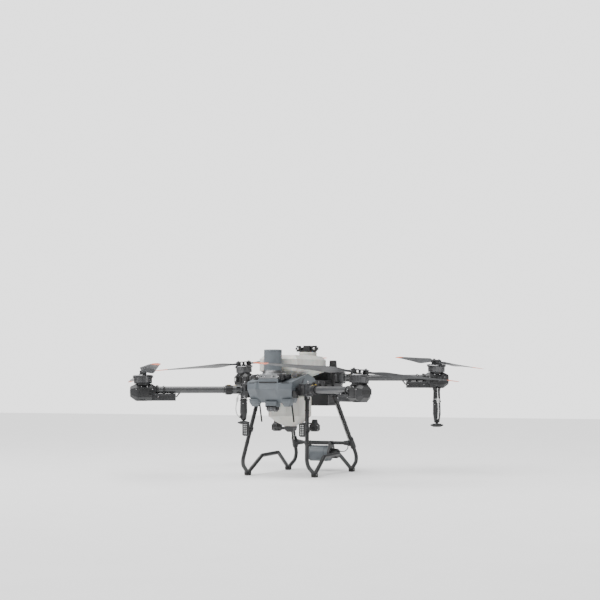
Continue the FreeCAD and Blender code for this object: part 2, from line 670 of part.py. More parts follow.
def shoulder(side, inset):
    """Side cheek that carries the deck's slope over the arm root and falls away behind it."""
    profile = [(-364, 536), (-364, deck_z(-364)), (-147, deck_z(-147)), (-70, 596), (-50, 578), (-190, 548)]
    middle = Vector(0, -215, 576)
    points = []
    for y, z in profile:
        corner = Vector(0, y, z)
        points.append(corner + (middle - corner).normalize() * inset * 1.3)
    inner = 128 if inset == 0 else 120
    return facets([[(side * inner, p.y, p.z) for p in points],
                   [(side * (cheek_x(p.y) - inset), p.y, p.z) for p in points]])


def lobe(side, inset):
    """Rounded-off pocket under each side of the nose, which holds a downward camera."""
    levels = [(470, 35, 19), (452, 35, 21), (438, 27, 18), (424, 17, 12)]
    return facets([
        [(side * LOBE_X + a * (w - inset), LOBE_Y + b * (d - inset), z + (inset if z == 424 else 0))
         for a, b in ((-1, -0.6), (-0.75, -1), (0.75, -1), (1, -0.6), (1, 1), (-1, 1))]
        for z, w, d in levels
    ])


shell_wall = float(S.shell_wall)
seat_half = POST_X + POST_HALF + 2 + shell_wall
radar_seat = span("radar_seat", (-seat_half, -384, 560), (seat_half, -266, MOUNT_LOW - 0.3))
nose_outer = fuse("nose_outer", nose_solid(0), radar_seat,
                  *[feature(f"nose_cheek_{side}", shoulder(side, 0)) for side in (-1, 1)],
                  *[feature(f"nose_lobe_{side}", lobe(side, 0)) for side in (-1, 1)])
nose_room = [nose_solid(shell_wall)]
nose_room.append(span("radar_seat_room", (-seat_half + shell_wall, -380, 540),
                      (seat_half - shell_wall, -270, MOUNT_LOW - 0.3 - shell_wall)))
for side in (-1, 1):
    nose_room.append(feature(f"nose_cheek_hollow_{side}", shoulder(side, shell_wall)))
    nose_room.append(feature(f"nose_lobe_hollow_{side}", lobe(side, shell_wall)))
    nose_room.append(rod(f"nose_lobe_eye_{side}", 10, 20, (side * LOBE_X, LOBE_Y, 415)))
    nose_room.append(rod(f"nose_antenna_hole_{side}", 9, 30, (side * 108, -283, 430)))
    nose_room.append(span(f"nose_post_room_{side}", (side * POST_X - POST_HALF - 0.5, POST_FRONT - 0.5, 540),
                          (side * POST_X + POST_HALF + 0.5, POST_REAR + 0.5, 620)))
nose_room.append(span("nose_arm_room", (-200, -311, 493), (200, -200, 536)))
nose_room.append(span("nose_camera_room", (-39, -346, 430), (39, -290, 457)))
nose_room.append(span("nose_mount_room", (-101, -389, MOUNT_LOW - 0.3), (101, -200, 660)))
node("nose_shell", cut("nose_shape", nose_outer, *nose_room))

mount_corners = [(-95, -362), (-80, -386), (80, -386), (95, -362), (95, -266), (-95, -266)]
mount_plate = padded("radar_plate", "XY_Plane", mount_corners, MOUNT_HIGH - MOUNT_LOW)
mount_plate.Placement = Placement(Vector(0, 0, (MOUNT_LOW + MOUNT_HIGH) / 2), Rotation())
collar = turned("radar_collar", [
    (0, MOUNT_HIGH), (S.radar_dia / 2 + 14, MOUNT_HIGH), (S.radar_dia / 2 + 12, 621),
    (S.radar_dia / 2 + 2, 626),
    (S.radar_dia / 2 - 2, S.radar_foot), (0, S.radar_foot),
])
collar.Placement = Placement(vec(0, -S.radar_y, 0), Rotation())
node("radar_mount", fuse("radar_mount_shape", mount_plate, collar))
radar = turned("radar_turned", [
    (0, S.radar_foot), (S.radar_dia / 2, S.radar_foot), (S.radar_dia / 2, S.radar_top - 14),
    (S.radar_dia / 2 - 0.8, S.radar_top - 13.5), (S.radar_dia / 2 - 0.8, S.radar_top - 12.5),
    (S.radar_dia / 2, S.radar_top - 12), (S.radar_dia / 2, S.radar_top - 3),
    (S.radar_dia / 2 - 3, S.radar_top), (0, S.radar_top),
])
node("front_radar", radar, Placement(vec(0, -S.radar_y, 0), Rotation()))

sensors = []
for side in (-1, 1):
    sensors.append(rod(f"vision_camera_{side}", 8.5, 28, (side * LOBE_X, LOBE_Y, 427)))
    sensors.append(cut(f"side_sensor_{side}",
                       span(f"side_sensor_case_{side}", (min(side * 149, side * 168), -354, 476),
                            (max(side * 149, side * 168), -312, 516)),
                       rod(f"side_sensor_lens_{side}", 10, 4, (side * 165, -333, 496), X * side)))
CAMERA_PIVOT, CAMERA_HALF = Vector(0, -318, 414), 30.5
cheek_in = CAMERA_HALF + 1
yoke_parts = [span("camera_cover", (-cheek_in - 5, -344, 421), (cheek_in + 5, -294, 456))]
yoke_parts += [span(f"yoke_cheek_{s}", (min(s * cheek_in, s * (cheek_in + 5)), -332, 404),
                    (max(s * cheek_in, s * (cheek_in + 5)), -304, 424)) for s in (-1, 1)]
camera_yoke = cut("camera_yoke", fuse("camera_yoke_full", *yoke_parts),
                  rod("camera_room", 25.5, cheek_in * 2, CAMERA_PIVOT - X * cheek_in, X),
                  span("camera_front_room", (-cheek_in, -350, 404), (cheek_in, -318, 428)),
                  rod("yoke_bore", 4 + S.pin_gap, 90, CAMERA_PIVOT - X * 45, X))
sensors.append(camera_yoke)
node("nose_sensors", group("sensors_all", *sensors))

camera = fuse(
    "camera_shape",
    rod("camera_drum", 21, CAMERA_HALF * 2, CAMERA_PIVOT - X * CAMERA_HALF, X),
    rod("camera_snout", 12, 21.5, CAMERA_PIVOT, Vector(0, -1, -0.25)),
    rod("camera_trunnion", 4, 72, CAMERA_PIVOT - X * 36, X),
)
node("fpv_camera", camera)

antennas = []
for side in (-1, 1):
    top, tip = vec(side * 108, -283, S.nose_box_low), vec(side * 108, -249, 330)
    antennas.append(fuse(
        f"antenna_{side}",
        rod(f"antenna_rod_{side}", 5, (tip - top).Length, top, tip - top),
        rod(f"antenna_foot_{side}", 8, 18, top - Vector(0, 0, 18)),
    ))
    antennas[-1] = cut(f"antenna_trim_{side}", antennas[-1],
                       span(f"antenna_room_{side}", (-200, -340, S.nose_box_low), (200, -240, 500)))
node("rod_antennas", group("antennas_all", *antennas))

# ---------------------------------------------------------------- tank and lid


def tank_level(z, half, front, rear, bevel, tail=0.0):
    """One level of the tank: bevelled in front, drawn in at the tail."""
    waist = front + (rear - front) * 0.62
    return [
        (-half, front + bevel * 0.5, z), (-half + bevel, front, z), (half - bevel, front, z),
        (half, front + bevel * 0.5, z),
        (half, waist, z), (half - tail - bevel * 0.3, rear - bevel * 0.5, z), (half - tail - bevel, rear, z),
        (-half + tail + bevel, rear, z), (-half + tail + bevel * 0.3, rear - bevel * 0.5, z),
        (-half, waist, z),
    ]


def tank_solid(inset):
    top, half, neck = float(S.tank_top), float(S.tank_half), float(S.tank_neck)
    belly, low = float(S.tank_belly), float(S.tank_low)
    front, rear = -float(S.tank_front), float(S.tank_rear)
    levels = [
        (low, belly * 0.28, -96, -34, 10, 0), (low + 24, belly * 0.64, -136, 10, 22, 0),
        (low + 62, belly, -182, 51, 34, 0), (478, belly, -182, 51, 34, 0),
        (500, neck, -176, 58, 24, 0), (600, neck, -176, 58, 24, 0),
        (640, half, front, rear, 28, 40), (top - 24, half, front, rear, 28, 40),
        (top, half - 22, front + 20, rear - 24, 26, 36),
    ]
    levels = [(z + (inset if i == 0 else -inset if i == len(levels) - 1 else 0), h - inset, f + inset,
               r - inset, b, t)
              for i, (z, h, f, r, b, t) in enumerate(levels)]
    return facets([tank_level(*level) for level in levels])


neck_y = float(S.neck_y)
lid_hinge = Vector(0, neck_y + float(S.neck_dia) / 2 + 12, float(S.neck_top) + 8)
neck_outer = rod("tank_neck_outer", S.neck_dia / 2, S.neck_top - S.tank_top + 20,
                 (0, neck_y, S.tank_top - 20))
ears = [span(f"tank_ear_{s}", (min(s * 15, s * 22), neck_y + S.neck_dia / 2 - 12, S.tank_top - 8),
             (max(s * 15, s * 22), lid_hinge.y + 6, lid_hinge.z + 6)) for s in (-1, 1)]
lid_pin = rod("tank_lid_pin", 3, 44, (-22, lid_hinge.y, lid_hinge.z), X)
tank_full = fuse("tank_full", feature("tank_outer", tank_solid(0)), neck_outer, *ears, lid_pin)
tank_inside = feature("tank_inside", tank_solid(float(S.tank_wall)))
neck_bore = rod("tank_neck_bore", S.neck_dia / 2 - S.neck_wall, 80, (0, neck_y, S.tank_top - 30))
lid_swing = rod("tank_lid_room", S.neck_dia / 2 + 1, 40, (0, neck_y, S.neck_top))
node("spray_tank", cut("tank_shape", tank_full, tank_inside, neck_bore, lid_swing))

lid_low = float(S.neck_top) + 0.3
KNOB_X, KNOB_Z, KNOB_REACH = 56, lid_low + 22, 21.5
lid_parts = [
    rod("lid_disc", S.neck_dia / 2 - 2, 12, (0, neck_y, lid_low)),
    block("lid_yoke", (140, 18, 18), (0, neck_y, KNOB_Z)),
    block("lid_block", (46, 44, 24), (0, neck_y, KNOB_Z)),
    rod("lid_barrel", 6, 29, (-14.5, lid_hinge.y, lid_hinge.z), X),
    block("lid_strap", (26, 24, 6), (0, lid_hinge.y - 12, lid_hinge.z - 2)),
]
lid_parts += [rod(f"lid_bump_{i}", 7, 44, (x, neck_y - 22, KNOB_Z + 13), Y) for i,
              x in enumerate((-16, 0, 16))]
lid_holes = [rod("lid_pin_hole", 3 + 0.05, 60, (-30, lid_hinge.y, lid_hinge.z), X)]
lid_holes += [rod(f"lid_knob_hole_{s}", 5 + 0.05, 14, (s * KNOB_X, neck_y - 9.5, KNOB_Z), Y) for s in (-1, 1)]
lid_holes += [rod(f"lid_scallop_{s}", KNOB_REACH + 1.5, 60, (s * KNOB_X, neck_y - 9, KNOB_Z),
                  -Y) for s in (-1, 1)]
node("tank_lid", cut("lid_shape", fuse("lid_full", *lid_parts), *lid_holes))


def make_knob(side):
    """Six-lobed clamping knob on a stub axle, facing forward."""
    x, y, z = side * KNOB_X, neck_y - 9.4, KNOB_Z
    forward = Vector(0, -1, 0)
    shapes = [rod(f"knob_core_{side}", 14, 16, (x, y, z), forward),
              rod(f"knob_axle_{side}", 5, 12, (x, y, z), Y),
              cone(f"knob_boss_{side}", 8, 5, 4, (x, y - 16, z), forward)]
    for i in range(6):
        angle = math.radians(60 * i)
        shapes.append(rod(f"knob_lobe_{side}_{i}", 6.5, 14,
                          (x + 15 * math.cos(angle), y - 1, z + 15 * math.sin(angle)),
                          forward))
    return fuse(f"knob_shape_{side}", *shapes)


node("lid_knob_left", make_knob(1))
node("lid_knob_right", make_knob(-1))

pumps = []
for side in (-1, 1):
    case = feature(f"pump_case_{side}", facets([
        [(side * 130 + a * w, 7 + b * w, z) for a, b in
         ((-1, -0.5), (-0.5, -1), (0.5, -1), (1, -0.5), (1, 0.5), (0.5, 1), (-0.5, 1), (-1, 0.5))]
        for z, w in ((266, 21), (272, 26), (308, 26), (316, 22))
    ]))
    motor = cone(f"pump_motor_{side}", 22, 15, 26, (side * 130, 7, 314))
    outlet = rod(f"pump_outlet_{side}", 9, 46, (side * 108, 7, 284), X * -side)
    foot = span(f"pump_bracket_{side}", (min(side * 50, side * 112), -8, 312),
                (max(side * 50, side * 112), 22, 320))
    pumps.append(fuse(f"pump_{side}", case, motor, outlet, foot))
pumps.append(feature("pump_manifold", facets([
    [(a * w, -65 + b * d, z) for a, b in ((-1, -1), (1, -1), (1, 1), (-1, 1))]
    for z, w, d in ((264, 16, 16), (276, 27, 26), (299, 32, 30))
])))
node("spray_pumps", cut("pumps_trim", group("pumps_all", *pumps),
                        feature("pump_tank_room", tank_solid(-0.5))))

# ---------------------------------------------------------------- battery and satellite antennas

battery_mid = float(S.battery_front + S.battery_long / 2)
case = block("battery_case", (S.battery_wide, S.battery_long, S.battery_tall),
             (0, battery_mid, S.battery_low + S.battery_tall / 2))
grip_room = block("battery_grip_room", (S.battery_wide * 0.55, S.battery_long * 0.45, 90),
                  (0, battery_mid, S.battery_low + S.battery_tall))
grip = rod("battery_grip", 11, S.battery_wide * 0.6,
           (-float(S.battery_wide) * 0.3, battery_mid, float(S.battery_low + S.battery_tall) - 12), X)
vents = [block(f"battery_vent_{i}", (S.battery_wide * 0.8, 6, 5),
               (0, battery_mid + float(S.battery_long) / 2, 470 + 18 * i))
         for i in range(6)]
node("battery", fuse("battery_shape", cut("battery_cut", case, grip_room, *vents), grip))

masts = []
for side in (-1, 1):
    x, y = side * 150, 248
    head = feature(f"gnss_head_{side}", facets([
        [(x + a * w, y + b * w, z) for a, b in ((-1, -1), (1, -1), (1, 1), (-1, 1))]
        for z, w in ((640, 24), (655, 23), (656, 20), (706, 17), (710, 14))
    ]))
    post = block(f"gnss_post_{side}", (16, 16, 84), (x, y, 598))
    arm = span(f"gnss_arm_{side}", (min(side * 114, x + side * 10), y - 14, 556),
               (max(side * 114, x + side * 10), y + 14, 564))
    masts.append(fuse(f"gnss_{side}", head, post, arm))
node("gnss_antennas", group("gnss_all", *masts))

# ---------------------------------------------------------------- landing gear


def gear_x(z):
    """Sideways position of a landing gear tube at a height."""
    return float(S.foot_half_x) - float(S.gear_splay) * z


def gear_point(side, y, z):
    return Vector(side * gear_x(z), y, z)


FOOT_Z = 15


def gear_route(side):
    front, rear = -float(S.foot_front_y), float(S.foot_rear_y)
    points = [gear_point(side, LEG_FRONT_Y, float(S.gear_top)), gear_point(side, -300, 78),
              gear_point(side, front, FOOT_Z), gear_point(side, -36, 114), gear_point(side, 195, 122),
              gear_point(side, rear, FOOT_Z), gear_point(side, 492, 76),
              gear_point(side, LEG_REAR_Y, float(S.gear_top))]
    return points, [55, 24, 30, 30, 24, 50]


def past_top(points):
    """The route with both ends run on above the frame's beams."""
    first, last = points[0] - points[1], points[-1] - points[-2]
    return [points[0] + first * 0.05] + points[1:-1] + [points[-1] + last * 0.05]


def leg_spot(side, z, rear):
    """A point on a leg's centre line at a height."""
    points, _ = gear_route(side)
    low, high = (points[-2], points[-1]) if rear else (points[1], points[0])
    share = (z - low.z) / (high.z - low.z)
    return low + (high - low) * share


pads, gear_tubes = [], {}
for side, word in ((1, "left"), (-1, "right")):
    route, bends = gear_route(side)
    gear_tubes[word] = cut(f"gear_{word}", feature(f"gear_tube_{word}",
                                                   bent_rod(past_top(route), bends, S.gear_tube)),
                           span(f"gear_top_{word}", (-300, -400, S.gear_top), (300, 600, 600)))
    node(f"landing_gear_{word}", gear_tubes[word])
    for y in (-float(S.foot_front_y), float(S.foot_rear_y)):
        pad = facets([
            [(side * gear_x(FOOT_Z) + a * w, y + b * d, z) for a, b in ((-1, -1), (1, -1), (1, 1), (-1, 1))]
            for z, w, d in ((0, 12, 14), (4, 15, 18), (22, 15.5, 18), (31, 10, 11))
        ])
        pads.append(cut(f"foot_{word}_{int(y)}", feature(f"foot_block_{word}_{int(y)}", pad),
                        gear_tubes[word]))
node("foot_pads", group("feet_all", *pads))

bar_y = leg_spot(1, float(S.crossbar_z), True).y
bar_half = gear_x(float(S.crossbar_z)) - float(S.gear_tube) / 2
bar = rod("crossbar_tube", S.crossbar_dia / 2, bar_half * 2 - 12, (-bar_half + 6, bar_y, S.crossbar_z), X)
fittings = []
for side in (-1, 1):
    spot = leg_spot(side, float(S.crossbar_z), True)
    along = (leg_spot(side, 300, True) - leg_spot(side, 100, True)).normalize()
    fittings.append(rod(f"fitting_sleeve_{side}", S.gear_tube / 2 + 6, 64, spot - along * 32, along))
    fittings.append(rod(f"fitting_neck_{side}", S.crossbar_dia / 2 + 5, 44,
                        (side * (bar_half - 30), bar_y, S.crossbar_z), X * side))
crossbar = cut("crossbar_shape", fuse("crossbar_full", bar, *fittings),
               *[rod(f"fitting_bore_{side}", S.gear_tube / 2 + 0.05, 140,
                     leg_spot(side, float(S.crossbar_z), True)
                     - (leg_spot(side, 300, True) - leg_spot(side, 100, True)).normalize() * 70,
                     leg_spot(side, 300, True) - leg_spot(side, 100, True)) for side in (-1, 1)])
node("rear_crossbar", crossbar)

radar_z = float(S.crossbar_z) - 69
half_long = float(S.rear_radar_long) / 2
node("rear_radar", turned("rear_radar_turned", [
    (0, -half_long), (S.rear_radar_dia / 2 - 4, -half_long), (S.rear_radar_dia / 2, -half_long + 4),
    (S.rear_radar_dia / 2, half_long - 18), (S.rear_radar_dia / 2 - 1, half_long - 17),
    (S.rear_radar_dia / 2 - 1, half_long), (0, half_long),
]), Placement(Vector(-21, bar_y, radar_z), Rotation(Z, X)))
mount_x = -21 + half_long
mount_profile = facets([
    [(x, bar_y + a, z) for a, z in ((-44, radar_z - 22), (44, radar_z - 22), (52, radar_z + 8),
                                    (20, radar_z + 80),
                                    (-20, radar_z + 80), (-52, radar_z + 8))]
    for x in (mount_x + 0.1, mount_x + 16)
])
rear_mount = cut(
    "rear_mount_shape",
    fuse("rear_mount_full", feature("rear_mount_plate", mount_profile),
         rod("rear_mount_motor", 30, 40, (mount_x + 16, bar_y, radar_z), X),
         rod("rear_mount_gland", 7, 14, (mount_x + 56, bar_y, radar_z + 14), X),
         span("rear_mount_arm", (-100, bar_y - 17, radar_z + 56), (mount_x + 1, bar_y + 17, radar_z + 80)),
         span("rear_mount_far", (-107, bar_y - 20, radar_z - 10), (-91.2, bar_y + 20, radar_z + 80))),
    rod("rear_mount_bore", S.crossbar_dia / 2 + 0.05, 400, (-200, bar_y, S.crossbar_z), X),
)
node("rear_radar_mount", rear_mount)

lights = []
for side in (-1, 1):
    spot = leg_spot(side, 285, False)
    back = spot.y - float(S.gear_tube) / 2
    lamp = facets([
        [(spot.x + a * w, back - 46 + d, 285 + c * t) for a, c in
         ((-1, -0.8), (-0.7, -1), (0.7, -1), (1, -0.8), (1, 0.8), (0.7, 1), (-0.7, 1), (-1, 0.8))]
        for d, w, t in ((-14, 16, 37), (-10, 19, 41), (4, 19, 41), (12, 14, 30))
    ])
    lights.append(cut(
        f"light_{side}",
        fuse(f"light_full_{side}", feature(f"light_case_{side}", lamp),
             rod(f"light_bracket_{side}", 9, 34, (spot.x, back - 38, 285), Y),
             rod(f"light_ring_{side}", S.gear_tube / 2 + 5, 26, leg_spot(side, 272, False),
                 leg_spot(side, 300, False)
                 - leg_spot(side, 272, False))),
        rod(f"light_bore_{side}", S.gear_tube / 2 + 0.05, 400, leg_spot(side, 150, False),
            leg_spot(side, 300, False) - leg_spot(side, 150, False)),
    ))
node("work_lights", group("lights_all", *lights))

cables = []
for side in (-1, 1):
    spot = leg_spot(side, float(S.crossbar_z), True)
    along = (leg_spot(side, 300, True) - leg_spot(side, 100, True)).normalize()
    ahead = along.cross(X).normalize()
    if ahead.y > 0:
        ahead = -ahead
    for lane, (turn, width) in enumerate(((-22, S.hose_dia), (20, S.cable_dia))):
        away = Rotation(along, turn * side).multVec(ahead) * float(S.gear_tube / 2 + width / 2 + 0.6)
        start = spot + along * 32.1 + away
        reach = (float(S.gear_top) - 6 - start.z) / along.z
        cables.append(rod(f"leg_cable_{side}_{lane}", width / 2, reach, start, along))
gland = Vector(mount_x + 70, bar_y, radar_z + 14)
loop = [gland, gland + Vector(34, 0, 0), Vector(175, bar_y, gland.z + 20),
        Vector(175, bar_y, float(S.crossbar_z - S.crossbar_dia / 2) - 5.1)]
cables.append(feature("radar_cable", bent_rod(loop, cord_radii(loop), S.cable_dia)))
node("leg_cables", group("cables_all", *cables))

bolts = [rod(f"mount_bolt_{i}", 5, 5, (x, -386, 603), Vector(0, -1, 0)) for i,
         x in enumerate((-62, -20, 28, 64))]
for side in (-1, 1):
    for i, y in enumerate((-230, -20, 90, 180)):
        bolts.append(rod(f"rail_bolt_{side}_{i}", 6, 5, (side * S.rail_out, y, 572), X * side))
node("frame_bolts", group("bolts_all", *bolts))

# ---------------------------------------------------------------- checks and export

doc.recompute()
for item in doc.Objects:
    wrong = {"Invalid", "Error"} & set(item.State)
    if wrong:
        raise SystemExit(f"{item.Label}: {wrong}")
os.makedirs("parts", exist_ok=True)
for label, item in nodes.items():
    shape = item.Shape
    if shape.isNull() or not shape.isValid() or shape.Volume <= 0:
        raise SystemExit(f"{label}: its shape is empty or not valid")
    shape.exportStep(f"parts/{label}.step")
    print(f"{label:28s} {len(shape.Solids):3d} solids {shape.Volume / 1000:10.1f} cm3")
print(len(nodes), "nodes")
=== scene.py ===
import json
import math

import bmesh
import bpy
from mathutils import Matrix, Vector


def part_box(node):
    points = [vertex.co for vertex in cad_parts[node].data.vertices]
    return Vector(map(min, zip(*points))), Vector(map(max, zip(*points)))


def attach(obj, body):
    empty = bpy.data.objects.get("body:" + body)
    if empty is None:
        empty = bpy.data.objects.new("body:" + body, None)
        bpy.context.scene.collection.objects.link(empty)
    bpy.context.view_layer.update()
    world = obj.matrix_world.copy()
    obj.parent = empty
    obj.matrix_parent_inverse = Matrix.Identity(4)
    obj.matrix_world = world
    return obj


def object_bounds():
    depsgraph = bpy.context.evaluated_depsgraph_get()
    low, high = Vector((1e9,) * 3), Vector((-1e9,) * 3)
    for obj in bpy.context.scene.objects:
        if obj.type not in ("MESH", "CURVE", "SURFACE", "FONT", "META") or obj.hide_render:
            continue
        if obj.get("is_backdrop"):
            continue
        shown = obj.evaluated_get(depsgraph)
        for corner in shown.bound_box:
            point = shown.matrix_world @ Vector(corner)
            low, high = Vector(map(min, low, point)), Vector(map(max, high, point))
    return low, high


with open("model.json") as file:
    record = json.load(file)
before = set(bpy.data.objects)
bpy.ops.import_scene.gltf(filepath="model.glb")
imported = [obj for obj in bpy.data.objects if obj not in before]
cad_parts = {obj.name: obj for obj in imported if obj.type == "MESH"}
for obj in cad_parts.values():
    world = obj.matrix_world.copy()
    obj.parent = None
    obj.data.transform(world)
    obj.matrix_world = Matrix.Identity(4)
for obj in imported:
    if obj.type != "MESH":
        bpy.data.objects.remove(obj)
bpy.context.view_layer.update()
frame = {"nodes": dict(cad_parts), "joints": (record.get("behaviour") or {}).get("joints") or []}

MM = 0.001
joints = {joint["name"]: joint for joint in frame["joints"]}
REAR_CORNERS = ("rear_left", "rear_right")
CORNERS = ("front_left", "front_right", *REAR_CORNERS)
SIDES = {"left": 1, "right": -1}


# ---------------------------------------------------------------- shader sockets as Python values

class Wire:
    """An output socket that adds Math nodes when it is used in arithmetic."""

    def __init__(self, nodes, socket):
        self.nodes, self.socket = nodes, socket

    def _maths(self, operation, first, second=0.0):
        return self.nodes.node("ShaderNodeMath", {"operation": operation}, {0: first, 1: second})

    def __add__(self, other):
        return self._maths("ADD", self, other)

    __radd__ = __add__

    def __sub__(self, other):
        return self._maths("SUBTRACT", self, other)

    def __rsub__(self, other):
        return self._maths("SUBTRACT", other, self)

    def __mul__(self, other):
        return self._maths("MULTIPLY", self, other)

    __rmul__ = __mul__

    def __pow__(self, other):
        return self._maths("POWER", self, other)

    def __gt__(self, other):
        return self._maths("GREATER_THAN", self, other)

    def sine(self):
        return self._maths("SINE", self)

    def softly(self, low, high):
        """0 below low, 1 above high, smooth between."""
        return self.nodes.node("ShaderNodeMapRange", {"interpolation_type": "SMOOTHSTEP"},
                               {"Value": self, "From Min": low, "From Max": high})

    def between(self, first, second):
        """A number that goes from first to second as this goes from 0 to 1."""
        return self * (second - first) + first


class Nodes:
    """A node tree whose nodes all come from one method."""

    def __init__(self, tree):
        self.tree = tree

    def node(self, kind, settings=None, values=None, output=0):
        made = self.tree.nodes.new(kind)
        for key, value in (settings or {}).items():
            setattr(made, key, value)
        for key, value in (values or {}).items():
            self.join(made.inputs[key], value)
        return Wire(self, made.outputs[output])

    def join(self, socket, value):
        if isinstance(value, Wire):
            self.tree.links.new(value.socket, socket)
        elif isinstance(value, tuple) and len(value) == 3 and socket.type == "RGBA":
            socket.default_value = (*value, 1)
        else:
            socket.default_value = value


class Finish(Nodes):
    """A surface material: one Principled shader and the nodes that feed it."""

    def __init__(self, name, **fixed):
        self.material = bpy.data.materials.new(name)
        self.material.use_nodes = True
        super().__init__(self.material.node_tree)
        self.shader = self.tree.nodes["Principled BSDF"]
        self.feed(**fixed)

    def feed(self, **sockets):
        for name, value in sockets.items():
            self.join(self.shader.inputs[name.replace("_", " ")], value)

    def mix(self, share, first, second):
        """A colour between two colours."""
        return self.node("ShaderNodeMix", {"data_type": "RGBA"}, {0: share, 6: first, 7: second}, 2)

    def place(self, frame_matrix=None):
        """Position in millimetres, in the object's own frame or in a local frame inside it."""
        spot = self.node("ShaderNodeTexCoord", output=3)
        if frame_matrix is not None:
            inner = frame_matrix.inverted()
            spot = self.node("ShaderNodeMapping", {"vector_type": "POINT"},
                             {"Vector": spot, "Location": tuple(inner.translation),
                              "Rotation": tuple(inner.to_euler())})
        return self.node("ShaderNodeVectorMath", {"operation": "SCALE"}, {0: spot, "Scale": 1000.0})

    def stretched(self, spot, upright):
        """A position scaled along Z, which squeezes a pattern there when it is over 1."""
        return self.node("ShaderNodeVectorMath", {"operation": "MULTIPLY"}, {0: spot, 1: (1.0, 1.0, upright)})

    def axes(self, spot):
        split = self.node("ShaderNodeSeparateXYZ", values={0: spot})
        return [Wire(self, socket) for socket in split.socket.node.outputs]

    def cloud(self, spot, scale, detail=3.0, rough=0.55):
        """Soft noise whose lumps are about 1/scale millimetres across."""
        return self.node("ShaderNodeTexNoise", values={"Vector": spot, "Scale": scale, "Detail": detail,
                                                       "Roughness": rough})

    def relief(self, height, depth_mm, under):
        """A bump of this depth laid over the normal under it."""
        return self.node("ShaderNodeBump", values={"Strength": 1.0, "Distance": depth_mm * MM,
                                                   "Height": height, "Normal": under})

    def eased(self, radius_mm):
        """The normal with its edges rounded, and how much of an edge this is."""
        soft = self.node("ShaderNodeBevel", {"samples": 4}, {"Radius": radius_mm * MM})
        flat = self.node("ShaderNodeNewGeometry", output=1)
        likeness = self.node("ShaderNodeVectorMath", {"operation": "DOT_PRODUCT"}, {0: soft, 1: flat}, 1)
        return soft, (1.0 - likeness).softly(0.004, 0.14)


ORANGE = (0.72, 0.135, 0.040)


def moulded(name, colour, rough=0.5, grain=0.9, depth=0.05, edge=1.5, worn=1.5, dust=0.06, **fixed):
    """Fine-grained moulded or coated surface with eased, slightly rubbed edges and a little dust."""
    finish = Finish(name, **fixed)
    spot = finish.place()
    fine = finish.cloud(spot, grain, 4.0, 0.6)
    broad = finish.cloud(spot, 0.011, 3.0)
    soft, edges = finish.eased(edge)
    paler = tuple(min(1.0, c * worn + 0.015) for c in colour)
    darker = tuple(c * 0.84 for c in colour)
    tone = finish.mix(broad.softly(0.35, 0.65), darker, colour)
    tone = finish.mix(edges * fine.softly(0.3, 0.7) * 0.6, tone, paler)
    settled = broad.softly(0.5, 0.8) * fine.softly(0.35, 0.75) * dust
    tone = finish.mix(settled, tone, (0.42, 0.39, 0.34))
    finish.feed(Base_Color=tone, Roughness=(rough - 0.07) + fine * 0.08 + broad * 0.08,
                Normal=finish.relief(fine, depth, soft))
    return finish.material


def metal(name, colour, rough=0.32, grain=0.5, edge=1.0):
    """Machined or anodised metal with fine tool marks."""
    finish = Finish(name, Metallic=1.0)
    spot = finish.place()
    stretched = finish.stretched(spot, 7.0)
    lines = finish.cloud(stretched, grain, 3.0, 0.7)
    broad = finish.cloud(spot, 0.02, 2.0)
    soft, edges = finish.eased(edge)
    tone = finish.mix(broad, tuple(c * 0.8 for c in colour), colour)
    tone = finish.mix(edges * 0.7, tone, tuple(min(1.0, c * 1.8 + 0.05) for c in colour))
    finish.feed(Base_Color=tone, Roughness=(rough - 0.06) + lines * 0.12,
                Normal=finish.relief(lines, 0.02, soft))
    return finish.material


def woven_carbon(name, arm):
    """Clear-coated carbon cloth whose twill runs round an arm's tube."""
    finish = Finish(name, Coat_Weight=0.35, Coat_Roughness=0.18)
    tube_radius, tows = 20.5, 1.55
    along, across, up = finish.axes(finish.place(arm))
    turn = finish.node("ShaderNodeMath", {"operation": "ARCTAN2"}, {0: up, 1: across}) * tube_radius
    weave = ((along + turn) * tows).sine() * ((along - turn) * tows).sine()
    tow = weave.softly(-0.25, 0.25)
    spot = finish.place()
    smudge = finish.cloud(spot, 0.03, 4.0)
    soft, _ = finish.eased(1.5)
    tone = finish.mix(tow, (0.024, 0.025, 0.027), (0.050, 0.052, 0.056))
    tone = finish.mix(smudge.softly(0.5, 0.75) * 0.12, tone, (0.20, 0.19, 0.17))
    finish.feed(Base_Color=tone, Roughness=tow.between(0.42, 0.34) + smudge * 0.08,
                Normal=finish.relief(weave, 0.04, soft))
    return finish.material


def blade_finish(name, hub, reach):
    """Satin composite blade; hub is the rotor's frame and reach is where its orange tip starts."""
    finish = Finish(name)
    x, y, _ = finish.axes(finish.place(hub))
    radius = (x * x + y * y) ** 0.5
    spot = finish.place()
    streaks = finish.cloud(spot, 0.25, 4.0, 0.65)
    smudge = finish.cloud(spot, 0.012, 3.0)
    soft, edges = finish.eased(1.0)
    tone = finish.mix(smudge.softly(0.35, 0.65), (0.022, 0.023, 0.025), (0.042, 0.044, 0.047))
    tone = finish.mix(radius > reach, tone, ORANGE)
    tone = finish.mix(edges * streaks.softly(0.4, 0.7) * 0.4, tone, (0.24, 0.23, 0.22))
    finish.feed(Base_Color=tone, Roughness=0.33 + streaks * 0.14,
                Normal=finish.relief(streaks, 0.03, soft))
    return finish.material


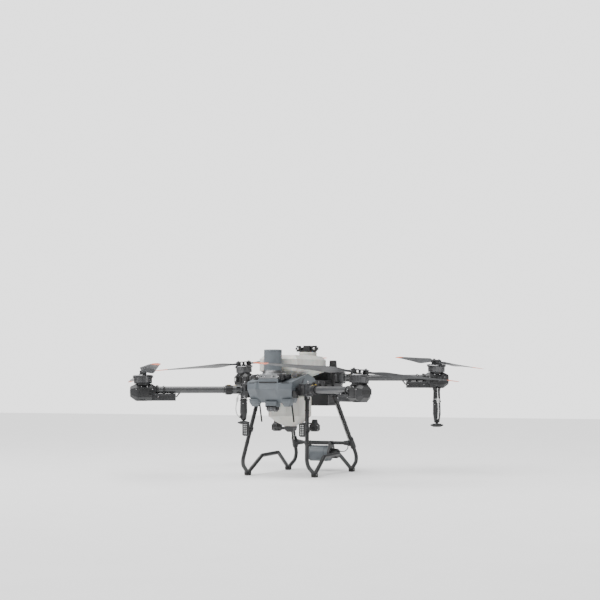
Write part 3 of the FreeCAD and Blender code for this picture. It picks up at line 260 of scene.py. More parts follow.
def tank_finish(name):
    """Pale blow-moulded tank: slightly see-through look, faint flow marks, and darker and browner towards the
    bottom.
    """
    finish = Finish(name, Subsurface_Weight=0.12, Subsurface_Scale=0.02, Specular_IOR_Level=0.4)
    spot = finish.place()
    height = finish.axes(spot)[2]
    flow = finish.cloud(finish.stretched(spot, 0.25), 0.03, 4.0)
    fine = finish.cloud(spot, 0.7, 3.0)
    soft, edges = finish.eased(3.0)
    # darker and browner towards the bottom of the tank, fading out between about 350 and 430 mm high along a
    # wavy edge
    low_darkening = (height + flow * 40.0).softly(430.0, 350.0) * 0.25
    tone = finish.mix(flow.softly(0.3, 0.7), (0.50, 0.49, 0.455), (0.60, 0.59, 0.555))
    tone = finish.mix(low_darkening, tone, (0.40, 0.375, 0.32))
    tone = finish.mix(edges * 0.5, tone, (0.70, 0.69, 0.66))
    finish.feed(Base_Color=tone, Roughness=0.36 + fine * 0.12 + flow * 0.05,
                Normal=finish.relief(fine, 0.05, soft))
    return finish.material


def clear_glass(name, colour, rough=0.05):
    """Dark window or lens under a clear hard coat."""
    finish = Finish(name, Coat_Weight=1.0, Coat_Roughness=0.03)
    spot = finish.place()
    haze = finish.cloud(spot, 0.2, 2.0)
    finish.feed(Base_Color=finish.mix(haze, colour, tuple(min(1.0, c * 1.5 + 0.01) for c in colour)),
                Roughness=rough + haze * 0.06)
    return finish.material


def hose_finish(name):
    """Milky clear hose."""
    finish = Finish(name, Transmission_Weight=0.35, IOR=1.42)
    spot = finish.place()
    haze = finish.cloud(spot, 0.15, 3.0)
    finish.feed(Base_Color=finish.mix(haze, (0.72, 0.73, 0.72), (0.88, 0.89, 0.88)),
                Roughness=0.22 + haze * 0.12)
    return finish.material


# ---------------------------------------------------------------- shapes in millimetres

class Shapes:
    """Gathers solids, drawn in millimetres in a local frame, into one piece."""

    def __init__(self, place=None):
        self.mesh = bmesh.new()
        self.place = place or Matrix.Identity(4)

    def _keep(self, part, turn):
        """Adds a finished solid, turned into place."""
        part.transform(turn or Matrix.Identity(4))
        bmesh.ops.recalc_face_normals(part, faces=part.faces)
        spare = bpy.data.meshes.new("spare")
        part.to_mesh(spare)
        part.free()
        self.mesh.from_mesh(spare)
        bpy.data.meshes.remove(spare)
        return self

    @staticmethod
    def _ease(part, width):
        """Rounds every edge that turns by more than about 35 degrees."""
        edges = [e for e in part.edges if len(e.link_faces) == 2 and e.calc_face_angle(0) > 0.6]
        bmesh.ops.bevel(part, geom=edges, offset=width, segments=2, profile=0.6, affect="EDGES")

    def slab(self, size, centre, turn=None, ease=1.0):
        """A box about its centre, with eased edges."""
        part = bmesh.new()
        bmesh.ops.create_cube(part, size=1.0)
        part.transform(Matrix.Diagonal((*size, 1)))
        self._ease(part, ease)
        return self._keep(part, Matrix.Translation(centre) @ (turn or Matrix.Identity(4)))

    def prism(self, outline, thick, turn=None, ease=1.0):
        """A flat outline padded along local Z, about its middle."""
        part = bmesh.new()
        face = part.faces.new([part.verts.new((x, y, -thick / 2)) for x, y in outline])
        top = bmesh.ops.extrude_face_region(part, geom=[face])
        for item in top["geom"]:
            if isinstance(item, bmesh.types.BMVert):
                item.co.z += thick
        bmesh.ops.recalc_face_normals(part, faces=part.faces)
        self._ease(part, ease)
        return self._keep(part, turn)

    def lathe(self, profile, turn=None, steps=48):
        """A closed or axis-to-axis outline of (radius, height) turned about local Z."""
        part = bmesh.new()
        rows = []
        for radius, height in profile:
            if radius < 1e-6:
                rows.append([part.verts.new((0, 0, height))])
            else:
                rows.append([part.verts.new((radius * math.cos(2 * math.pi * i / steps),
                                             radius * math.sin(2 * math.pi * i / steps), height))
                             for i in range(steps)])
        closed = len(rows[0]) > 1
        for low, high in zip(rows, rows[1:] + (rows[:1] if closed else [])):
            for i in range(steps):
                j = (i + 1) % steps
                ring = [low[i % len(low)], low[j % len(low)], high[j % len(high)], high[i % len(high)]]
                ring = list(dict.fromkeys(ring))
                if len(ring) > 2:
                    part.faces.new(ring)
        return self._keep(part, turn)

    def drum(self, radius, length, base, along=(0, 0, 1), steps=28, ease=0.8):
        """A round bar from base, running along a direction, with eased ends."""
        ease = min(ease, length / 3, radius / 2)
        profile = [(0, 0), (radius - ease, 0), (radius, ease), (radius, length - ease),
                   (radius - ease, length), (0, length)]
        return self.lathe(profile, standing(base, along), steps)

    def bolt(self, radius, base, along=(0, 0, 1)):
        """A socket-head screw."""
        tall = radius * 0.9
        return self.lathe([(0, -0.5), (radius, -0.5), (radius, tall * 0.8), (radius * 0.85, tall),
                           (radius * 0.5, tall), (radius * 0.45, tall * 0.4), (0, tall * 0.4)],
                          standing(base, along), 18)

    def pipe(self, points, radius, steps=10, ring=14):
        """A round tube along a smooth line through points."""
        points = [Vector(p) for p in points]
        route = []
        ends = [points[0] * 2 - points[1]] + points + [points[-1] * 2 - points[-2]]
        for a, b, c, d in zip(ends, ends[1:], ends[2:], ends[3:]):
            for i in range(steps):
                t = i / steps
                route.append(0.5 * (b * 2 + (c - a) * t + (a * 2 - b * 5 + c * 4 - d) * t * t
                                    + (b * 3 - a - c * 3 + d) * t * t * t))
        route.append(points[-1])
        part = bmesh.new()
        side = (route[1] - route[0]).orthogonal().normalized()
        rows = []
        for i, spot in enumerate(route):
            ahead = (route[min(i + 1, len(route) - 1)] - route[max(i - 1, 0)]).normalized()
            side = (side - ahead * side.dot(ahead)).normalized()
            other = ahead.cross(side)
            rows.append([part.verts.new(spot + (side * math.cos(a) + other * math.sin(a)) * radius)
                         for a in (2 * math.pi * k / ring for k in range(ring))])
        for low, high in zip(rows, rows[1:]):
            for i in range(ring):
                part.faces.new((low[i], low[(i + 1) % ring], high[(i + 1) % ring], high[i]))
        part.faces.new(rows[0])
        part.faces.new(rows[-1])
        return self._keep(part, None)

    def piece(self, name, body, material, slot):
        """Makes the gathered solids one object that rides on a body."""
        mesh = bpy.data.meshes.new(name)
        self.mesh.transform(self.place @ Matrix.Scale(MM, 4))
        self.mesh.to_mesh(mesh)
        self.mesh.free()
        mesh.polygons.foreach_set("use_smooth", [True] * len(mesh.polygons))
        mesh.set_sharp_from_angle(angle=math.radians(35))
        mesh.materials.append(material)
        made = bpy.data.objects.new(name, mesh)
        bpy.context.scene.collection.objects.link(made)
        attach(made, body)


def spin(degrees, axis="Z"):
    return Matrix.Rotation(math.radians(degrees), 4, axis)


def move(x, y, z):
    return Matrix.Translation((x, y, z))


def standing(base, along):
    """The turn and place that stand local Z along a direction, from a base point."""
    return Matrix.Translation(base) @ Vector(along).to_track_quat("Z", "Y").to_matrix().to_4x4()


def frame_of(origin, x_axis, z_axis):
    """A local frame in metres from its origin, X direction and Z direction."""
    z = Vector(z_axis).normalized()
    x = (Vector(x_axis) - z * Vector(x_axis).dot(z)).normalized()
    made = Matrix((x, z.cross(x), z)).transposed().to_4x4()
    made.translation = Vector(origin)
    return made


arm_frame, rotor_frame, arm_long, lean = {}, {}, {}, {}
for corner in CORNERS:
    hinge = Vector(joints[f"arm_fold_{corner}"]["pos_m"])
    motor = Vector(joints[f"rotor_spin_{corner}"]["pos_m"])
    up = Vector(joints[f"rotor_spin_{corner}"]["axis"])
    if up.z < 0:
        up = -up
    out = Vector((motor.x - hinge.x, motor.y - hinge.y, 0))
    bolts = [Vector(joints[f"blade_fold_{tag}_{corner}"]["pos_m"]) for tag in "ab"]
    arm_frame[corner] = frame_of(hinge, out, (0, 0, 1))
    rotor_frame[corner] = frame_of(motor, bolts[0] - bolts[1], up)
    arm_long[corner] = out.length / MM
    lean[corner] = 1 if up.dot(Vector((-out.y, out.x, 0))) > 0 else -1

# ---------------------------------------------------------------- finishes

black = moulded("satin_black_moulding", (0.017, 0.0175, 0.019), 0.44)
soft_black = moulded("fine_grain_black", (0.008, 0.0083, 0.009), 0.55, grain=1.4, depth=0.08)
tube_black = moulded("coated_tube_black", (0.015, 0.0156, 0.017), 0.36, grain=0.5, depth=0.03, worn=1.3)
rubber = moulded("foot_rubber", (0.018, 0.018, 0.018), 0.75, grain=1.8, depth=0.12, worn=1.8, dust=0.2)
# painted shadow: a near-black finish for strips and discs that stand for the shade inside seams, slots, vents
# and holes
seam_shadow = moulded("shadow_seam", (0.010, 0.010, 0.011), 0.7)
blue_grey = moulded("blue_grey_cover", (0.098, 0.113, 0.126), 0.42, grain=1.1, depth=0.04, edge=2.5,
                    worn=1.18, dust=0.04)
deep_grey = moulded("deep_grey_cover", (0.070, 0.081, 0.091), 0.46, grain=1.1, depth=0.04, edge=2.0, worn=1.2)
mid_grey = moulded("anodised_plate_grey", (0.200, 0.205, 0.212), 0.42, grain=0.6, Metallic=0.55)
dark_metal = metal("dark_anodised_metal", (0.085, 0.086, 0.090), 0.40)
motor_metal = metal("motor_grey_metal", (0.165, 0.166, 0.170), 0.36)
steel = metal("bright_steel", (0.60, 0.60, 0.61), 0.26)
yellow = moulded("latch_yellow", (0.86, 0.55, 0.010), 0.42, dust=0.1)
orange = moulded("signal_orange", ORANGE, 0.45)
tank_skin = tank_finish("tank_moulding")
lens = clear_glass("camera_lens", (0.010, 0.012, 0.018))
window = clear_glass("dark_window", (0.020, 0.021, 0.024), 0.10)
hose = hose_finish("milky_hose")
status = moulded("status_lens_white", (0.75, 0.76, 0.76), 0.25, grain=0.3, dust=0.03)

NODE_FINISH = {
    "centre_frame": tube_black, "nose_shell": blue_grey, "front_radar": blue_grey, "radar_mount": mid_grey,
    "nose_sensors": soft_black, "rod_antennas": rubber, "spray_tank": tank_skin, "spray_pumps": black,
    "landing_gear_left": tube_black, "landing_gear_right": tube_black, "foot_pads": rubber,
    "rear_crossbar": black, "rear_radar": blue_grey, "rear_radar_mount": black, "work_lights": black,
    "gnss_antennas": soft_black, "arm_hinge_brackets": dark_metal, "arm_hinge_pins": steel,
    "leg_cables": rubber, "flight_controller": soft_black, "frame_bolts": steel, "fpv_camera": window,
    "tank_lid": soft_black, "lid_knob_left": soft_black, "lid_knob_right": soft_black, "battery": soft_black,
}
CORNER_FINISH = {
    "lock_sleeve": soft_black, "motor_pod": black, "motor_bell": motor_metal, "blade_clamp": dark_metal,
    "spray_boom": black, "spray_disc": soft_black, "spray_line": hose,
}
TIP_START = 562.0
for corner in CORNERS:
    NODE_FINISH[f"arm_{corner}"] = woven_carbon(f"carbon_cloth_{corner}", arm_frame[corner])
    for part, finish in CORNER_FINISH.items():
        NODE_FINISH[f"{part}_{corner}"] = finish
    blade = blade_finish(f"blade_composite_{corner}", rotor_frame[corner], TIP_START)
    NODE_FINISH[f"blade_a_{corner}"] = NODE_FINISH[f"blade_b_{corner}"] = blade
for name, node in frame["nodes"].items():
    for place in node.material_slots:
        place.material = NODE_FINISH[name]

# ---------------------------------------------------------------- rotors

BLADE_BOLT = 38
CLAMP_MIDDLE = 19.5
for corner in CORNERS:
    hub, body = rotor_frame[corner], f"rotor_{corner}"
    vents = Shapes(hub)
    for i in range(36):
        turn = spin(i * 10)
        vents.slab((1.6, 3.2, 24), turn @ Vector((53.6, 0, -23)), turn, 0.5)
    for i in range(30):
        turn = spin(i * 12)
        vents.slab((7.5, 1.6, 3.6), turn @ Vector((58.4, 0, -6.2)), turn, 0.4)
    vents.lathe([(53.2, -41.5), (54.6, -41.5), (54.6, -37), (53.2, -37)])
    vents.piece(f"bell_ribs_{corner}", body, dark_metal, f"motor_bell_{corner}")
    rims = Shapes(hub)
    rims.lathe([(53.0, 4.3), (57.5, 4.3), (57.5, 5.4), (53.0, 5.4)])
    rims.lathe([(45.0, 4.3), (46.2, 4.3), (46.2, 5.0), (45.0, 5.0)])
    rims.piece(f"plate_rims_{corner}", body, motor_metal, f"motor_bell_{corner}")
    screws = Shapes(hub)
    for i in range(8):
        turn = spin(22.5 + i * 45)
        screws.bolt(2.6, turn @ Vector((50, 0, 4.5)))
    for side in (-1, 1):
        screws.bolt(5.2, (side * BLADE_BOLT, 0, 38.4))
        for across in (-11, 11):
            screws.bolt(2.4, (side * 16, across, 34.4))
    screws.piece(f"rotor_screws_{corner}", body, steel, f"blade_clamp_{corner}")
    web = Shapes(hub)
    for side in (-1, 1):
        for across in (-15, 15):
            web.prism([(-3, -9.6), (3, -9.6), (9, 0), (3, 0)] if side > 0 else
                      [(-3, 0), (-9, 0), (-3, -9.6), (3, -9.6)], 2.4,
                      move(side * 3, across, CLAMP_MIDDLE) @ spin(90, "X"), 0.5)
    web.slab((14, 20, 3), (0, 0, 33.8), None, 1.0)
    web.piece(f"clamp_web_{corner}", body, dark_metal, f"blade_clamp_{corner}")
    for tag, side in (("a", 1), ("b", -1)):
        root = Shapes(hub)
        root.lathe([(5.3, -8.9), (16.2, -8.9), (17.0, -7.6), (17.0, 7.6), (16.2, 8.9), (5.3, 8.9)],
                   move(side * BLADE_BOLT, 0, CLAMP_MIDDLE))
        for across in (-9, 9):
            root.bolt(2.2, (side * 66, across * 0.5, 25.5))
        root.piece(f"blade_root_{tag}_{corner}", f"blade_{tag}_{corner}", soft_black, f"blade_{tag}_{corner}")

# ---------------------------------------------------------------- arms and pods

COLLAR_BORE = 20.6
for corner in CORNERS:
    place, long, side = arm_frame[corner], arm_long[corner], lean[corner]
    body = f"arm_{corner}"
    mark = Shapes(place)
    mark.slab((17, 6, 2.4), (101, 0, 30.6), None, 0.8)
    mark.piece(f"lock_mark_{corner}", f"lock_sleeve_{corner}", yellow, f"lock_sleeve_{corner}")
    mark = Shapes(place)
    mark.slab((15, 7, 2.6), (62, 0, 26.2), None, 0.8)
    mark.piece(f"clamp_mark_{corner}", body, yellow, f"arm_{corner}")
    collar = Shapes(place)
    for x, radius, wide in ((128, 22.6, 5), (long - 132, 24.5, 12)):
        collar.lathe([(COLLAR_BORE, 0), (radius - 1, 0), (radius, 1), (radius, wide - 1), (radius - 1, wide),
                      (COLLAR_BORE, wide)], move(x, 0, 0) @ spin(90, "Y"))
    collar.lathe([(COLLAR_BORE, 0), (28.0, 0), (28.0, 12), (24, 15), (COLLAR_BORE, 15)],
                 move(long - 92, 0, 0) @ spin(90, "Y"))
    for z in (-18, 18):
        collar.slab((24, 58, 3.2), (44, 0, z), None, 1.2)
    collar.piece(f"tube_collars_{corner}", body, soft_black, f"arm_{corner}")
    bits = Shapes(place)
    for turn in (45, 135, 225, 315):
        around = spin(turn, "X")
        bits.bolt(2.6, around @ Vector((long - 126, 0, 24.0)), around @ Vector((0, 0, 1)))
    for x in (-52, -20, 14, 46):
        for across in (-1, 1):
            bits.bolt(2.8, (long + x, across * 46.0, 20 if abs(x) < 30 else 4), (0, across, 0))
    for x in (-24, 24):
        for across in (-1, 1):
            bits.bolt(2.6, (long - 140 + x * 2.2, across * 31.0, -43), (0, across, 0))
    bits.piece(f"pod_screws_{corner}", body, steel, f"motor_pod_{corner}")
    # painted shadow: near-black strips that stand for the shade in the pod's seams and vent slots
    lines = Shapes(place)
    lines.slab((96, 93.2, 1.4), (long - 6, 0, -15), None, 0.3)
    lines.slab((1.4, 93.2, 58), (long + 30, 0, -13), None, 0.3)
    lines.slab((1.4, 93.2, 58), (long - 51, 0, -13), None, 0.3)
    for i in range(5):
        lines.slab((22, 93.0, 2.2), (long - 34, 0, -30 + i * 7), None, 0.4)
    lines.piece(f"pod_seam_shadows_{corner}", body, seam_shadow, f"motor_pod_{corner}")
    shell = Shapes(place)
    for i in range(7):
        shell.slab((3, 60, 10), (long - 20 + i * 9, 0, -62), None, 1.0)
    shell.slab((10, 58, 26), (long + 71, 0, -12), None, 4.0)
    for z in (-40, 8):
        shell.slab((44, 96, 5), (long + 2, 0, z), None, 1.6)
    shell.prism([(-22, -26), (22, -26), (28, -12), (28, 14), (18, 24), (-18, 24), (-28, 14), (-28, -12)], 96,
                move(long - 4, 0, -14) @ spin(90, "X"), 3.0)
    shell.piece(f"pod_ribs_{corner}", body, soft_black, f"motor_pod_{corner}")
    light = Shapes(place)
    light.slab((16, 3, 20), (long + 10, side * 64.2, -9), None, 1.4)
    light.piece(f"pod_light_{corner}", body, status if side > 0 else window, f"motor_pod_{corner}")
    esc = Shapes(place)
    esc.slab((128, 66, 5), (long - 125, 0, -30), None, 1.6)
    for i in range(13):
        esc.slab((3, 64.5, 22), (long - 179 + i * 9, 0, -51), None, 0.8)
    esc.piece(f"controller_fins_{corner}", body, dark_metal, f"motor_pod_{corner}")
    leads = Shapes(place)
    for across in (-14, 0, 14):
        leads.pipe([(long - 60, across, -46), (long - 50, across, -42), (long - 40, across * 0.9, -38)], 3.4)
    for across in (-9, 9):
        leads.pipe([(long - 192, across, -44), (long - 204, across, -40), (long - 214, across, -27),
                    (long - 222, across * 0.6, -20.5)], 3.2)
    leads.piece(f"controller_leads_{corner}", body, rubber, f"motor_pod_{corner}")

# ---------------------------------------------------------------- spray gear

for corner in REAR_CORNERS:
    place, long = arm_frame[corner], arm_long[corner]
    body = f"arm_{corner}"
    low = (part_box(f"spray_boom_{corner}")[0][2] - place.translation.z) / MM
    sleeve = Shapes(place)
    for i in range(8):
        sleeve.lathe([(15, 0), (24 - i * 0.25, 0.6), (24 - i * 0.25, 3.4), (15, 4)],
                     move(long, 0, low + 66 + i * 8), 24)
    sleeve.lathe([(9.2, 0), (15, 0), (19, 7), (19, 10), (9.2, 10)], move(long, 0, low + 4))
    sleeve.lathe([(10, 0), (27, 0), (28, 2), (28, 8), (26, 10), (10, 10)], move(long, 0, low + 136))
    sleeve.piece(f"boom_ribs_{corner}", body, soft_black, f"spray_boom_{corner}")
    ring = Shapes(place)
    ring.lathe([(20, 0), (25.6, 0.6), (25.6, 4), (20, 4.6)], move(long, 0, low + 152))
    for i in range(4):
        turn = spin(45 + i * 90)
        ring.bolt(2.6, Vector((long, 0, 0)) + turn @ Vector((23.4, 0, low + 120)), turn @ Vector((1, 0, 0)))
    ring.piece(f"boom_fittings_{corner}", body, steel, f"spray_boom_{corner}")
    disc = Shapes(place)
    ground = -place.translation.z / MM
    for i in range(40):
        turn = spin(i * 9)
        disc.slab((10, 1.2, 1.6), Vector((long, 0, 0)) + turn @ Vector((35.5, 0, ground + 299.2)), turn, 0.3)
    disc.lathe([(26, 0), (28, 0), (28, 2), (26, 2)], move(long, 0, ground + 302.5))
    disc.piece(f"disc_teeth_{corner}", f"spray_disc_{corner}", mid_grey, f"spray_disc_{corner}")

# ---------------------------------------------------------------- nose, radar, sensors

# painted shadow: near-black strips that stand for the shade inside the nose slots, side seam and vents
slots = Shapes()
for side in (-1, 1):
    slots.slab((46, 7, 5), (side * 111, -378, 566), spin(side * 22), 1.2)
    slots.slab((1.4, 60, 1.6), (side * 147.2, -338, 536), None, 0.3)
    for i in range(4):
        slots.slab((2.4, 22, 3), (side * 156.0, -232 + i * 7, 566 + i * 8), spin(10, "X"), 0.6)
slots.slab((118, 6, 7), (0, -385.5, 569), None, 1.6)
slots.piece("nose_slot_shadows", "airframe", seam_shadow, "nose_shell")
steps = Shapes()
for side in (-1, 1):
    steps.slab((62, 3, 5), (side * 110, -360.6, 466), spin(side * 3), 1.2)
    steps.slab((40, 3, 4), (side * 107, -359.0, 444), spin(12, "X"), 1.2)
    steps.bolt(4.4, (side * 147.6, -352, 556), (side, -0.1, 0))
steps.slab((96, 3, 3), (0, -390.2, 529), None, 1.0)
steps.piece("nose_steps", "airframe", blue_grey, "nose_shell")
cover = Shapes()
cover.slab((75, 2.6, 27), (0, -345.2, 442), None, 1.0)
cover.slab((66, 2.0, 3), (0, -346.6, 431), None, 0.8)
for side in (-1, 1):
    cover.slab((2.6, 50, 34), (side * 37.8, -319, 438.5), None, 1.0)
cover.piece("camera_cover", "airframe", blue_grey, "nose_sensors")

RADAR_Y = -317
radar = Shapes(move(0, RADAR_Y * MM, 0))
radar.lathe([(53.9, 752), (54.8, 752.4), (54.8, 753.6), (53.9, 754)], None, 72)
radar.lathe([(40, 765.8), (41, 766.6), (43, 766.6), (44, 765.8)], None, 72)
radar.lathe([(53.8, 640.5), (55.6, 641), (55.6, 645), (54.8, 646.4), (53.8, 646.4)], None, 72)
radar.piece("radar_rings", "airframe", blue_grey, "front_radar")
collar = Shapes(move(0, RADAR_Y * MM, 0))
collar.lathe([(52, 616.3), (63.6, 616.3), (64.2, 618), (62.8, 622), (58.6, 637), (56.2, 640), (52, 640)],
             None, 72)
for i in range(8):
    turn = spin(22.5 + i * 45)
    collar.bolt(2.6, turn @ Vector((65.6, 0, 620.4)))
collar.piece("radar_collar", "airframe", motor_metal, "radar_mount")
ends = Shapes()
for side in (-1, 1):
    corners = [(62, -387.4), (80.6, -387.4), (96.6, -362.6), (96.6, -264.6), (74, -264.6), (62, -340)]
    ends.prism([(side * x, y) for x, y in corners], 26.4, move(0, 0, 604), 1.6)
    ends.slab((14, 8, 20), (side * 92, -378, 603), spin(side * 48), 2.2)
    ends.drum(7, 16, (side * 98, -352, 603), (side, -0.4, 0), 20, 1.2)
    ends.slab((18, 26, 8), (side * 88, -372, 588), spin(side * 30), 2.0)
ends.piece("radar_mount_ends", "airframe", black, "radar_mount")
# painted shadow: near-black discs that stand for the shade inside the two radar plate holes
holes = Shapes()
for x in (-44, 40):
    holes.lathe([(0, -0.4), (4.2, -0.4), (4.2, 0.7), (0, 0.7)], move(x, -386, 604) @ spin(90, "X"), 20)
holes.piece("radar_hole_shadows", "airframe", seam_shadow, "radar_mount")
bits = Shapes()
for side in (-1, 1):
    for y in (-352, -316, -280):
        bits.bolt(3.6, (side * 84, y, 617.4), (0, 0, 1))
    bits.bolt(3.2, (side * 72, -387.6, 604), (0, -1, 0))
    bits.bolt(2.4, (side * 120, -372, 548), (side * 0.5, -1, 0))
bits.piece("nose_screws", "airframe", steel, "radar_mount")

eyes = Shapes()
rims = Shapes()
for side in (-1, 1):
    down = move(side * 107, -339, 427) @ spin(180, "X")
    out = move(side * 165.4, -333, 496) @ spin(side * 90, "Y")
    for spot in (down, out):
        eyes.lathe([(0, -2), (7.6, -2), (7.6, 0), (5.6, 2.0), (0, 3.0)], spot, 28)
        rims.lathe([(7.8, -2), (9.8, -2), (9.8, 2.2), (8.8, 2.8), (7.8, 1.6)], spot, 28)
eyes.piece("sensor_lenses", "airframe", lens, "nose_sensors")
rims.piece("sensor_rims", "airframe", soft_black, "nose_sensors")
camera_pivot = Vector(joints["camera_tilt"]["pos_m"]) / MM
look = Vector((0, -1, -0.25)).normalized()
snout = standing(camera_pivot + look * 20.4, look)
eye = Shapes()
eye.lathe([(0, 0), (8.6, 0), (8.6, 1.2), (6.4, 3.2), (0, 4.2)], snout, 32)
eye.piece("camera_eye", "fpv_camera", lens, "fpv_camera")
barrel = Shapes()
barrel.lathe([(9, -4), (12.2, -4), (12.2, 0.6), (11.2, 1.6), (9, 0.6)], snout, 32)
for x in (-27, -15, 15, 27):
    barrel.lathe([(19, -1.6), (21.8, -1.0), (21.8, 1.0), (19, 1.6)],
                 Matrix.Translation(camera_pivot + Vector((x, 0, 0))) @ spin(90, "Y"), 40)
barrel.slab((24, 10, 6), camera_pivot + Vector((0, 3, -15)), None, 2.0)
barrel.piece("camera_barrel", "fpv_camera", soft_black, "fpv_camera")

# ---------------------------------------------------------------- tank, lid, pumps, battery

LID_Y = 190
PUMP_X = 130
tank = Shapes()
for side in (-1, 1):
    for y in (-118, -20):
        tank.slab((3.6, 26, 84), (side * 105.0, y, 420), None, 1.7)
    tank.slab((4, 330, 8), (side * 126.4, -70, 652), None, 2.4)
    tank.slab((4, 300, 6), (side * 126.2, -70, 700), None, 2.2)
tank.slab((54, 4, 78), (0, -182.2, 424), None, 1.8)
tank.slab((150, 4, 7), (0, -258.4, 652), None, 2.2)
for y in (-170, -90, -10, 70):
    tank.slab((150, 8, 3), (0, y, 735.4), None, 1.3)
tank.lathe([(54.5, 0), (60, 0.6), (61, 3), (60, 6), (54.5, 7)], move(0, LID_Y, 735))
tank.lathe([(55.0, 0), (58.4, 0), (58.4, 5), (55.0, 6)], move(0, LID_Y, 752))
tank.piece("tank_mouldings", "airframe", tank_skin, "spray_tank")
gauge = Shapes()
for side in (-1, 1):
    for i in range(9):
        mark = 9 if i % 2 else 16
        gauge.slab((1.6, mark, 1.8), (side * 106.0, -4, 382 + i * 10.5), None, 0.4)
gauge.piece("tank_level_marks", "airframe", soft_black, "spray_tank")
lid_ribs = Shapes()
for i in range(24):
    turn = spin(i * 15)
    if abs(math.cos(math.radians(i * 15))) < 0.8:
        lid_ribs.slab((4, 5, 9), Vector((0, LID_Y, 0)) + turn @ Vector((53, 0, 769)), turn, 1.2)
lid_ribs.slab((52, 30, 6), (0, LID_Y, 797.4), None, 2.2)
lid_ribs.slab((30, 34, 3.4), (0, 238, 773), None, 1.2)
lid_ribs.piece("lid_ribs", "tank_lid", soft_black, "tank_lid")
lid_screws = Shapes()
for x in (-20, 20):
    lid_screws.bolt(3, (x, 200, 800.2), (0, 0, 1))
    lid_screws.bolt(3, (x * 2.9, 200, 784.3), (0, 1, 0))
lid_screws.piece("lid_screws", "tank_lid", steel, "tank_lid")
for word, side in SIDES.items():
    cap = Shapes()
    cap.lathe([(0, 0), (7, 0), (7, 2.5), (5, 4), (0, 4.4)], move(side * 56, 160.8, 784.3) @ spin(90, "X"), 28)
    cap.piece(f"knob_cap_{word}", f"lid_knob_{word}", steel, f"lid_knob_{word}")

pump = Shapes()
for side in (-1, 1):
    for i in range(6):
        pump.slab((52.5, 3, 36), (side * PUMP_X, -14 + i * 8.4, 290), None, 0.8)
    pump.lathe([(15, 0), (19.4, 0), (19.4, 4), (15, 4)], move(side * PUMP_X, 7, 330), 36)
    pump.drum(6, 12, (side * PUMP_X, -20, 280), (0, -1, 0))
    pump.pipe([(side * PUMP_X, -30, 280), (side * 128, -44, 281), (side * 110, -62, 286),
               (side * 60, -62, 288)], 6)
pump.piece("pump_ribs", "airframe", soft_black, "spray_pumps")
bits = Shapes()
for side in (-1, 1):
    for y in (-14, 28):
        bits.bolt(2.6, (side * 155, y, 304), (side, 0, 0))
        bits.bolt(2.6, (side * 155, y, 276), (side, 0, 0))
bits.piece("pump_screws", "airframe", steel, "spray_pumps")

pack = Shapes()
for side in (-1, 1):
    for i in range(7):
        pack.slab((3.4, 96, 5), (side * 85, 397, 470 + i * 16), None, 1.2)
    pack.slab((26, 4, 34), (side * 48, 470.4, 612), None, 1.6)
    pack.slab((4, 120, 20), (side * 85.4, 397, 622), None, 1.6)
pack.slab((120, 4, 60), (0, 470.2, 540), None, 2.0)
pack.slab((150, 126, 3), (0, 397.5, 428.6), None, 1.0)
pack.piece("battery_panels", "battery", black, "battery")
gauge = Shapes()
for i in range(5):
    gauge.slab((8, 2.6, 4), (-24 + i * 12, 472.6, 556), None, 0.8)
gauge.piece("battery_gauge", "battery", status, "battery")
grip = Shapes()
grip.slab((90, 23, 4), (0, 397.5, 648.6), None, 1.8)
grip.piece("battery_grip_pad", "battery", orange, "battery")

# ---------------------------------------------------------------- frame details

trim = Shapes()
for side in (-1, 1):
    for y in (-150, -60, 30, 120, 210):
        trim.lathe([(23.2, -1.5), (27, -1.5), (27, 1.5), (23.2, 1.5)],
                   move(side * 114.6, y, 545) @ spin(90, "Y"), 36)
    for z in (580, 509):
        trim.slab((3, 560, 5), (side * 114.8, 60, z), None, 1.2)
trim.piece("rail_rings", "airframe", dark_metal, "centre_frame")
bits = Shapes()
for side in (-1, 1):
    for y in (-178, 241):
        for dy in (-13, 13):
            bits.bolt(3.4, (side * 181, y + dy, 510), (side, 0, 0))
            bits.bolt(3.4, (side * 150, y + dy, 530), (0, 0, 1))
    for y in (325, 397, 468):
        for z in (570, 520):
            bits.bolt(3.4, (side * 114, y, z), (side, 0, 0))
bits.piece("frame_screws", "airframe", steel, "centre_frame")
for corner in CORNERS:
    hinge = arm_frame[corner].translation / MM
    clevis = Shapes()
    for z in (-37.2, 37.2):
        clevis.lathe([(14, -1), (21, -1), (22, 0), (21, 1), (14, 1)], move(hinge.x, hinge.y, hinge.z + z), 36)
    side = 1 if hinge.x > 0 else -1
    for dy in (-24, 24):
        clevis.slab((8, 5, 66), (hinge.x - side * 36, hinge.y + dy, hinge.z), None, 1.4)
    clevis.piece(f"clevis_ribs_{corner}", "airframe", dark_metal, "arm_hinge_brackets")
    stop = Shapes()
    for z in (-45.6, 45.6):
        stop.bolt(5.2, (hinge.x, hinge.y, hinge.z + z), (0, 0, 1 if z > 0 else -1))
    for dy in (-22, 0, 22):
        stop.bolt(3.2, (hinge.x - side * 33.8, hinge.y + dy, hinge.z + 18), (side, 0, 0))
    stop.piece(f"clevis_screws_{corner}", "airframe", steel, "arm_hinge_brackets")

# ---------------------------------------------------------------- landing gear details

GEAR_X, GEAR_LEAN = 227, 0.13
LEG_LINES = {"front": ((-300, 78), (-178, 490)), "rear": ((492, 76), (241, 490))}
FEET_Y, FOOT_Z = (-206, 373), 15
CROSSBAR_Z, LAMP_Z = 179, 285


def leg_point(side, z, rear):
    """Centre of a leg tube at a height, in millimetres."""
    lower, upper = LEG_LINES["rear" if rear else "front"]
    share = (z - lower[1]) / (upper[1] - lower[1])
    return Vector((side * (GEAR_X - GEAR_LEAN * z), lower[0] + (upper[0] - lower[0]) * share, z))


